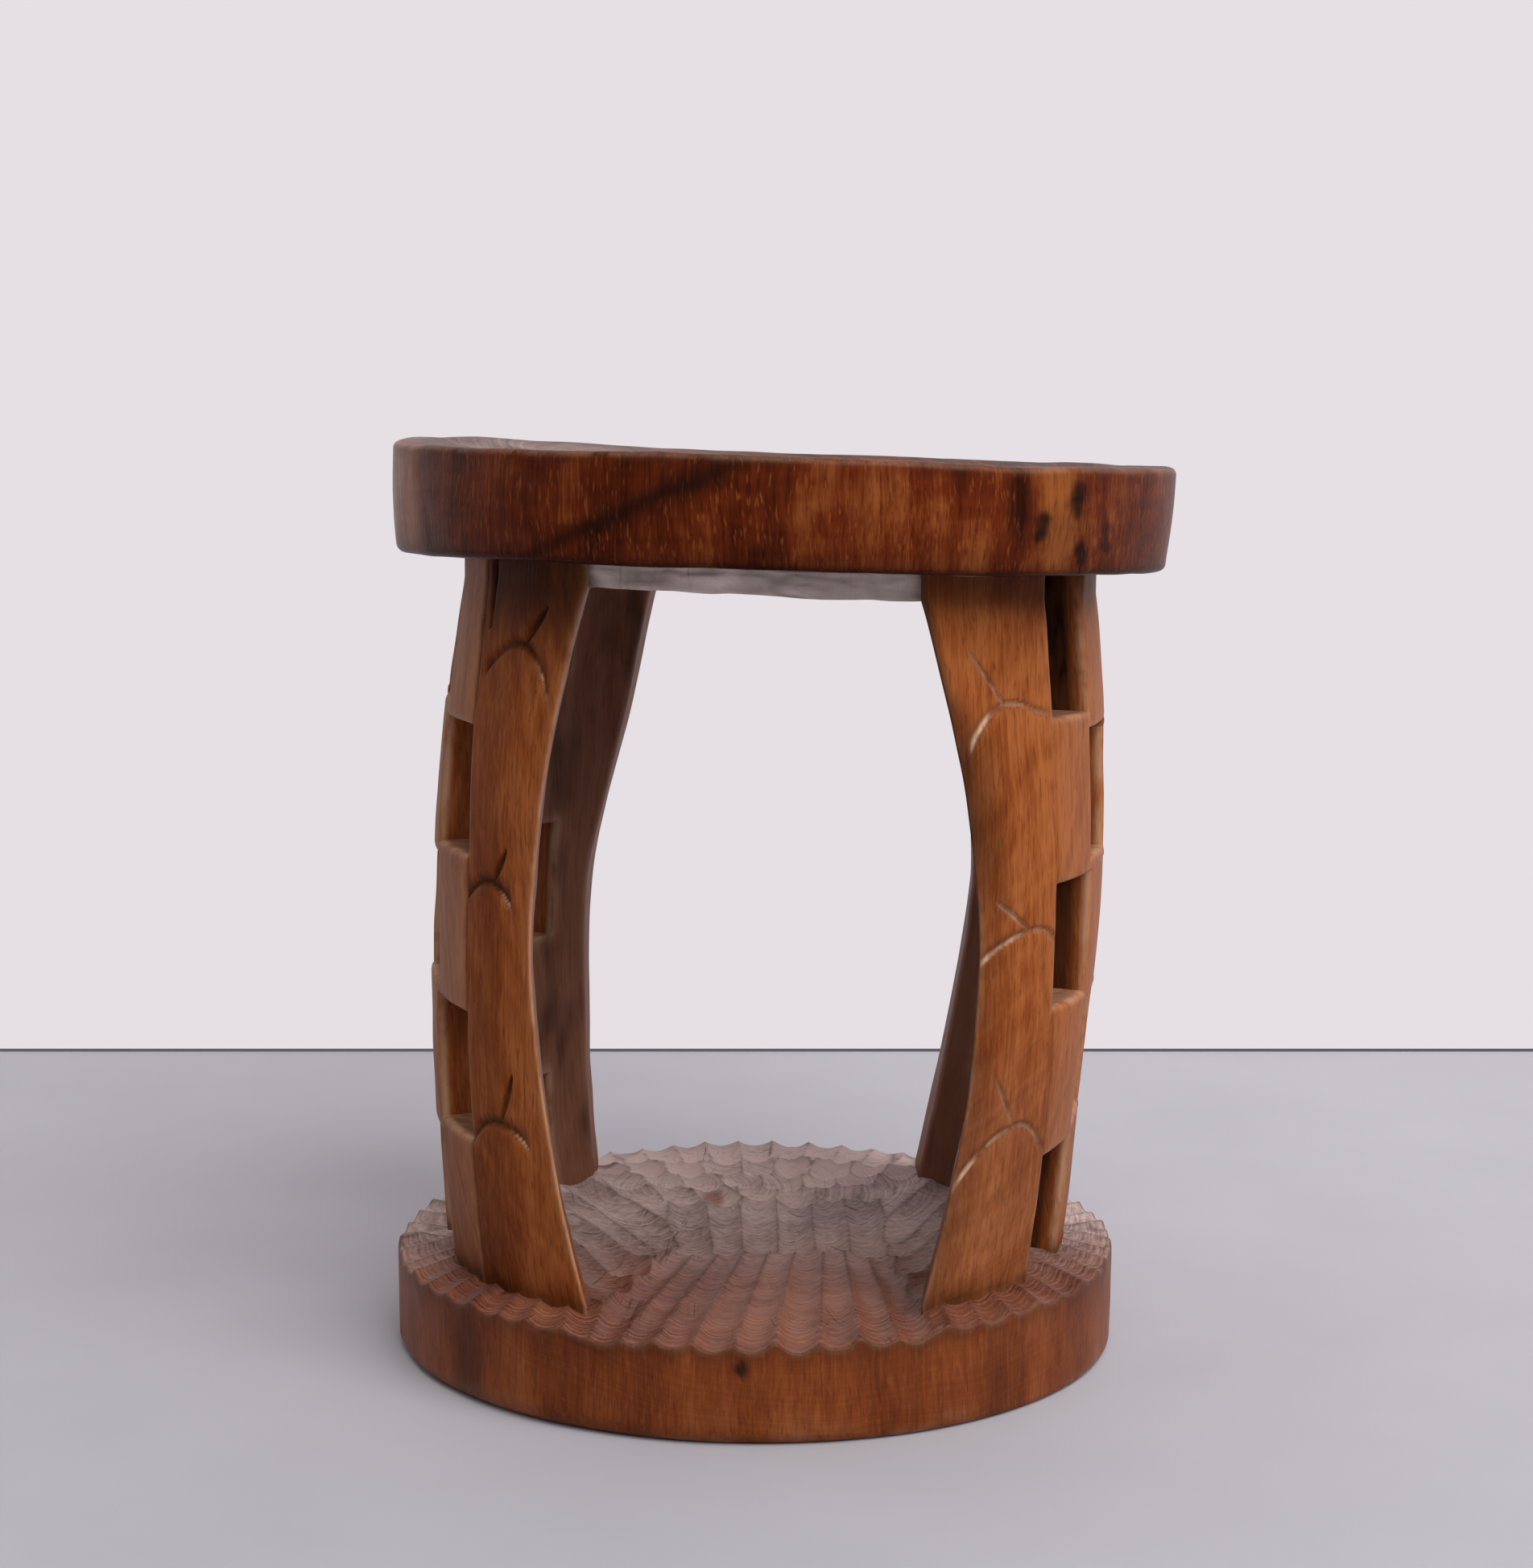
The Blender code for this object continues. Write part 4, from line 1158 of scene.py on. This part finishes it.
def wood_finish(name, wood, dry_wood, colours):
    """Worn waxed wood: its figure sets the tone, and the piece's masks dull, dry, stain and wear it, and
    paint light, sheen and shade.
    """
    recipe = FINISHES[name]
    dark, middle, light = (getattr(colours, f"{wood}_{tone}") for tone in ("dark", "middle", "light"))
    dry_tones = getattr(colours, f"{dry_wood}_dark"), getattr(colours, f"{dry_wood}_light")
    finish, tree = blank_finish(name)
    place = put(tree, "ShaderNodeTexCoord").outputs["Object"]
    growth = {socket: recipe[socket] for socket in ("Ring Width", "Ring Cone", "Ripple Scale")}
    part = placed(tree, log_figure, {"Vector": place, **growth})
    masks = {}
    for mask in MASKS:
        read = put(tree, "ShaderNodeAttribute", attribute_name=mask, attribute_type="GEOMETRY")
        masks[mask] = read.outputs["Fac"]

    # Waxed wood: the figure's parts by weight, then pores and flecks.
    along = weighed(tree, part, {kind: recipe[kind] for kind in TONE_PARTS}, recipe["Depth"])
    across = weighed(tree, part, END_FIGURE, END_DEPTH)
    wires = {0: masks["end"], 2: along, 3: across}
    tone = put(tree, "ShaderNodeMix", wires, data_type="FLOAT").outputs[0]
    # Painted light and sheen: the light mask lifts the tone.
    tone = weighed(tree, masks, {"light": 0.30}, tone)
    ramp = put(tree, "ShaderNodeValToRGB", {0: tone})
    stops = ramp.color_ramp.elements
    stops[0].position, stops[1].position = TONE_STOPS[0], TONE_STOPS[2]
    stops[0].color, stops[1].color = opaque(dark), opaque(light)
    stops.new(TONE_STOPS[1]).color = opaque(middle)
    colour = tint(tree, reckon(tree, "MULTIPLY", part["Pores"], recipe["Pores"]), ramp.outputs[0], dark)
    colour = tint(tree, reckon(tree, "MULTIPLY", part["Flecks"], recipe["Flecks"]), colour, light)

    # Dull inner faces with painted light, then dry cut wood and painted grey sheen with its rings and
    # checks, then stains, smoke and painted shade.
    dull = weighed(tree, masks, {"light": 0.6}, weighed(tree, part, DULL_FIGURE, 0.0))
    inner = tint(tree, dull, colours.inner_dark, colours.inner_light)
    colour = tint(tree, masks["inner"], colour, inner)
    grey = weighed(tree, masks, {"light": 0.50}, weighed(tree, part, GREY_FIGURE, 0.0))
    colour = tint(tree, masks["dry"], colour, tint(tree, grey, *dry_tones))
    cracked = weighed(tree, masks, {"dry": 0.3, "end": 0.5}, 0.15)
    checked = reckon(tree, "MULTIPLY", part["Checks"], cracked)
    colour = tint(tree, checked, colour, colours.grime)
    # Stains, smoke and painted shade darken the colour.
    smoke_and_shade = reckon(tree, "MULTIPLY", masks["stain"], span(tree, part["Ripple"], 0, 1, 0.80, 1.0))
    colour = tint(tree, smoke_and_shade, colour, colours.stain)
    wires = {"Color": colour, "Vector": place, "Edge": masks["edge"], "Amount": recipe["Wear"]}
    worn = placed(tree, handled_edge, {**wires, "Worn": opaque(colours.worn)})["Color"]
    # Dirt and painted shade darken the colour.
    wires = {"Color": worn, "Vector": place, "Hollow": masks["hollow"], "Amount": 0.8}
    soiled = placed(tree, settled_grime, {**wires, "Grime": opaque(colours.grime)})["Color"]

    # Gloss is dulled by the masks, and the grain stands up a little.
    rough = span(tree, part["Fibre"], 0, 1, recipe["Gloss"] - 0.05, recipe["Gloss"] + 0.07)
    rough = weighed(tree, masks, {"inner": 0.12, "hollow": 0.14, "dry": 0.20}, rough)
    relief = weighed(tree, part, RELIEF_FIGURE, 0.0)
    dry_rings = reckon(tree, "MULTIPLY", part["Rings"], masks["dry"])
    relief = reckon(tree, "MULTIPLY_ADD", dry_rings, 0.35, relief)
    relief = reckon(tree, "MULTIPLY_ADD", checked, -1.5, relief)
    bump = put(tree, "ShaderNodeBump", {"Height": relief, "Strength": 0.35, "Distance": 0.0005})
    wires = {"Base Color": soiled, "Roughness": rough, "Normal": bump.outputs[0]}
    shader = put(tree, "ShaderNodeBsdfPrincipled", wires)
    shader.inputs["Specular IOR Level"].default_value = recipe["Sheen"]
    show(tree, shader.outputs[0])
    return finish


def floor_finish(colours):
    """Matt studio floor, painted paler towards the wall as the wall's reflection on it."""
    finish, tree = blank_finish("studio_floor")
    place = put(tree, "ShaderNodeTexCoord").outputs["Object"]
    clouded = span(tree, cloud(tree, place, 9.0, 6.0)[0], 0.3, 0.7, 0.06, 0.0)
    back = put(tree, "ShaderNodeSeparateXYZ", {0: place}).outputs[1]
    shade = tint(tree, span(tree, back, -0.4, 0.6), colours.floor, colours.far_floor)
    mixed = tint(tree, clouded, shade, (0, 0, 0))
    shader = put(tree, "ShaderNodeBsdfPrincipled", {"Base Color": mixed, "Roughness": 0.7})
    show(tree, shader.outputs[0])
    return finish


def seen_straight(tree):
    """1 for rays from the camera and for what shines or shows through, 0 for other light."""
    path = put(tree, "ShaderNodeLightPath").outputs
    seen = reckon(tree, "MAXIMUM", path["Is Camera Ray"], path["Is Glossy Ray"])
    return reckon(tree, "MAXIMUM", seen, path["Is Transmission Ray"])


def backdrop_finish(name, colour):
    """Pale wall: its own colour to camera and reflections, matt to other light, clear from behind."""
    finish, tree = blank_finish(name)
    matt = put(tree, "ShaderNodeBsdfDiffuse", {"Color": opaque(colour)}).outputs[0]
    bright = put(tree, "ShaderNodeEmission", {"Color": opaque(colour), "Strength": 1.0}).outputs[0]
    clear = put(tree, "ShaderNodeBsdfTransparent").outputs[0]
    front = put(tree, "ShaderNodeMixShader", {0: seen_straight(tree), 1: matt, 2: bright}).outputs[0]
    back = put(tree, "ShaderNodeNewGeometry").outputs["Backfacing"]
    show(tree, put(tree, "ShaderNodeMixShader", {0: back, 1: front, 2: clear}).outputs[0])
    return finish


def studio_sky(studio, pale):
    """World light, dim from the front and full overhead and behind. It is seen as a pale backdrop."""
    world = bpy.data.worlds.new("studio")
    world.use_nodes = True
    tree = world.node_tree
    tree.nodes.clear()
    way = put(tree, "ShaderNodeTexCoord").outputs["Generated"]
    _, y, z = put(tree, "ShaderNodeSeparateXYZ", {0: way}).outputs
    height = reckon(tree, "MULTIPLY_ADD", y, 0.35, reckon(tree, "MULTIPLY", z, 0.8))
    strength = span(tree, height, -0.35, 0.8, studio.front_strength, studio.sky_strength)
    daylight = {"Color": (1, 0.985, 0.97, 1), "Strength": strength}
    light = put(tree, "ShaderNodeBackground", daylight).outputs[0]
    shown = put(tree, "ShaderNodeBackground", {"Color": opaque(pale), "Strength": 1.0}).outputs[0]
    both = put(tree, "ShaderNodeMixShader", {0: seen_straight(tree), 1: light, 2: shown}).outputs[0]
    show(tree, both, "ShaderNodeOutputWorld")
    return world


def upright(reach, distance, height):
    """Corners of an upright flat that faces the camera."""
    corners = ((-reach, 0), (reach, 0), (reach, height), (-reach, height))
    return [(x, distance, z) for x, z in corners]


# Operators


class STOOL_OT_stage(bpy.types.Operator):
    """Set the camera, the lamp, the floor and the wall"""

    bl_idname = "stool.set_stage"
    bl_label = "Set the stage"

    def execute(self, context):
        scene = context.scene
        studio, colours = scene.stool_studio, scene.stool_colours
        scene.view_settings.view_transform = "Standard"
        lens = bpy.data.cameras.new("camera")
        lens.lens, lens.sensor_width, lens.clip_start = studio.camera_lens, 36, 0.01
        scene.camera = put_in_scene("camera", lens)
        scene.camera.location = studio.camera_place
        scene.camera.rotation_euler = (np.pi / 2 - studio.camera_pitch, 0, 0)

        lamp = bpy.data.lights.new("key", "AREA")
        lamp.energy, lamp.size = studio.key_power, studio.key_size
        key = put_in_scene("key", lamp)
        key.location = studio.key_place
        towards = Vector(studio.key_target) - key.location
        key.rotation_euler = towards.to_track_quat("-Z", "Y").to_euler()
        scene.world = studio_sky(studio, colours.wall)

        wide, far, reach = studio.floor_reach, studio.wall_distance, studio.wall_reach
        ground = [(-wide, -wide, 0), (wide, -wide, 0), (wide, wide, 0), (-wide, wide, 0)]
        line = upright(reach, far - 0.001, studio.joint_height)
        flats = {
            "floor": (ground, floor_finish(colours)),
            "wall": (upright(reach, far, reach), backdrop_finish("studio_wall", colours.wall)),
            "joint": (line, backdrop_finish("studio_joint", colours.joint)),
        }
        for name, (corners, finish) in flats.items():
            mesh = bpy.data.meshes.new(name)
            mesh.from_pydata(corners, [], [(0, 1, 2, 3)])
            mesh.materials.append(finish)
            flat = put_in_scene(name, mesh)
        return {"FINISHED"}


class STOOL_OT_base(bpy.types.Operator):
    """Cut the base, with its gouged top"""

    bl_idname = "stool.cut_base"
    bl_label = "Cut the base"

    def execute(self, context):
        finish = wood_finish("gouged_wood", "side", "top", context.scene.stool_colours)
        piece = add_piece("gouged_base", *gouged_base(context.scene.stool_sizes), finish, "base_wood")
        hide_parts("base")
        return {"FINISHED"}


class STOOL_OT_legs(bpy.types.Operator):
    """Cut the four pierced legs"""

    bl_idname = "stool.cut_legs"
    bl_label = "Cut the legs"

    def execute(self, context):
        finish = wood_finish("pierced_wood", "leg", "sill", context.scene.stool_colours)
        for node, stance in LEGS.items():
            leg = pierced_leg(*stance, context.scene.stool_sizes)
            piece = add_piece(f"carved_{node}", *leg, finish, "leg_wood")
            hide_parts(node)
        return {"FINISHED"}


class STOOL_OT_seat(bpy.types.Operator):
    """Cut the dished seat"""

    bl_idname = "stool.cut_seat"
    bl_label = "Cut the seat"

    def execute(self, context):
        finish = wood_finish("polished_wood", "seat", "raw", context.scene.stool_colours)
        piece = add_piece("dished_seat", *dished_seat(context.scene.stool_sizes), finish, "seat_wood")
        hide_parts("seat")
        return {"FINISHED"}


class STOOL_PT_panel(bpy.types.Panel):
    """Sizes, colours and the steps that build the stool"""

    bl_idname = "STOOL_PT_panel"
    bl_label = "Carved Stool"
    bl_space_type = "VIEW_3D"
    bl_region_type = "UI"
    bl_category = "Stool"

    def draw(self, context):
        for operator in STEPS:
            self.layout.operator(operator.bl_idname)
        for name in GROUPS:
            group, box = getattr(context.scene, name), self.layout.box()
            for field in group.__annotations__:
                box.prop(group, field)


STEPS = (STOOL_OT_stage, STOOL_OT_base, STOOL_OT_legs, STOOL_OT_seat)
GROUPS = {"stool_sizes": StoolSizes, "stool_colours": StoolColours, "stool_studio": StoolStudio}


def register():
    """Make the groups, operators and panel known to Blender, and hang the groups on the scene."""
    for kind in (*GROUPS.values(), *STEPS, STOOL_PT_panel):
        bpy.utils.register_class(kind)
    for name, kind in GROUPS.items():
        setattr(bpy.types.Scene, name, PointerProperty(type=kind))


def unregister():
    """Take back what register did, in the opposite order."""
    for name in GROUPS:
        delattr(bpy.types.Scene, name)
    for kind in (STOOL_PT_panel, *STEPS[::-1], *list(GROUPS.values())[::-1]):
        bpy.utils.unregister_class(kind)


def main():
    register()
    bpy.ops.stool.set_stage()
    bpy.ops.stool.cut_base()
    bpy.ops.stool.cut_legs()
    bpy.ops.stool.cut_seat()


if __name__ == "__main__":
    main()
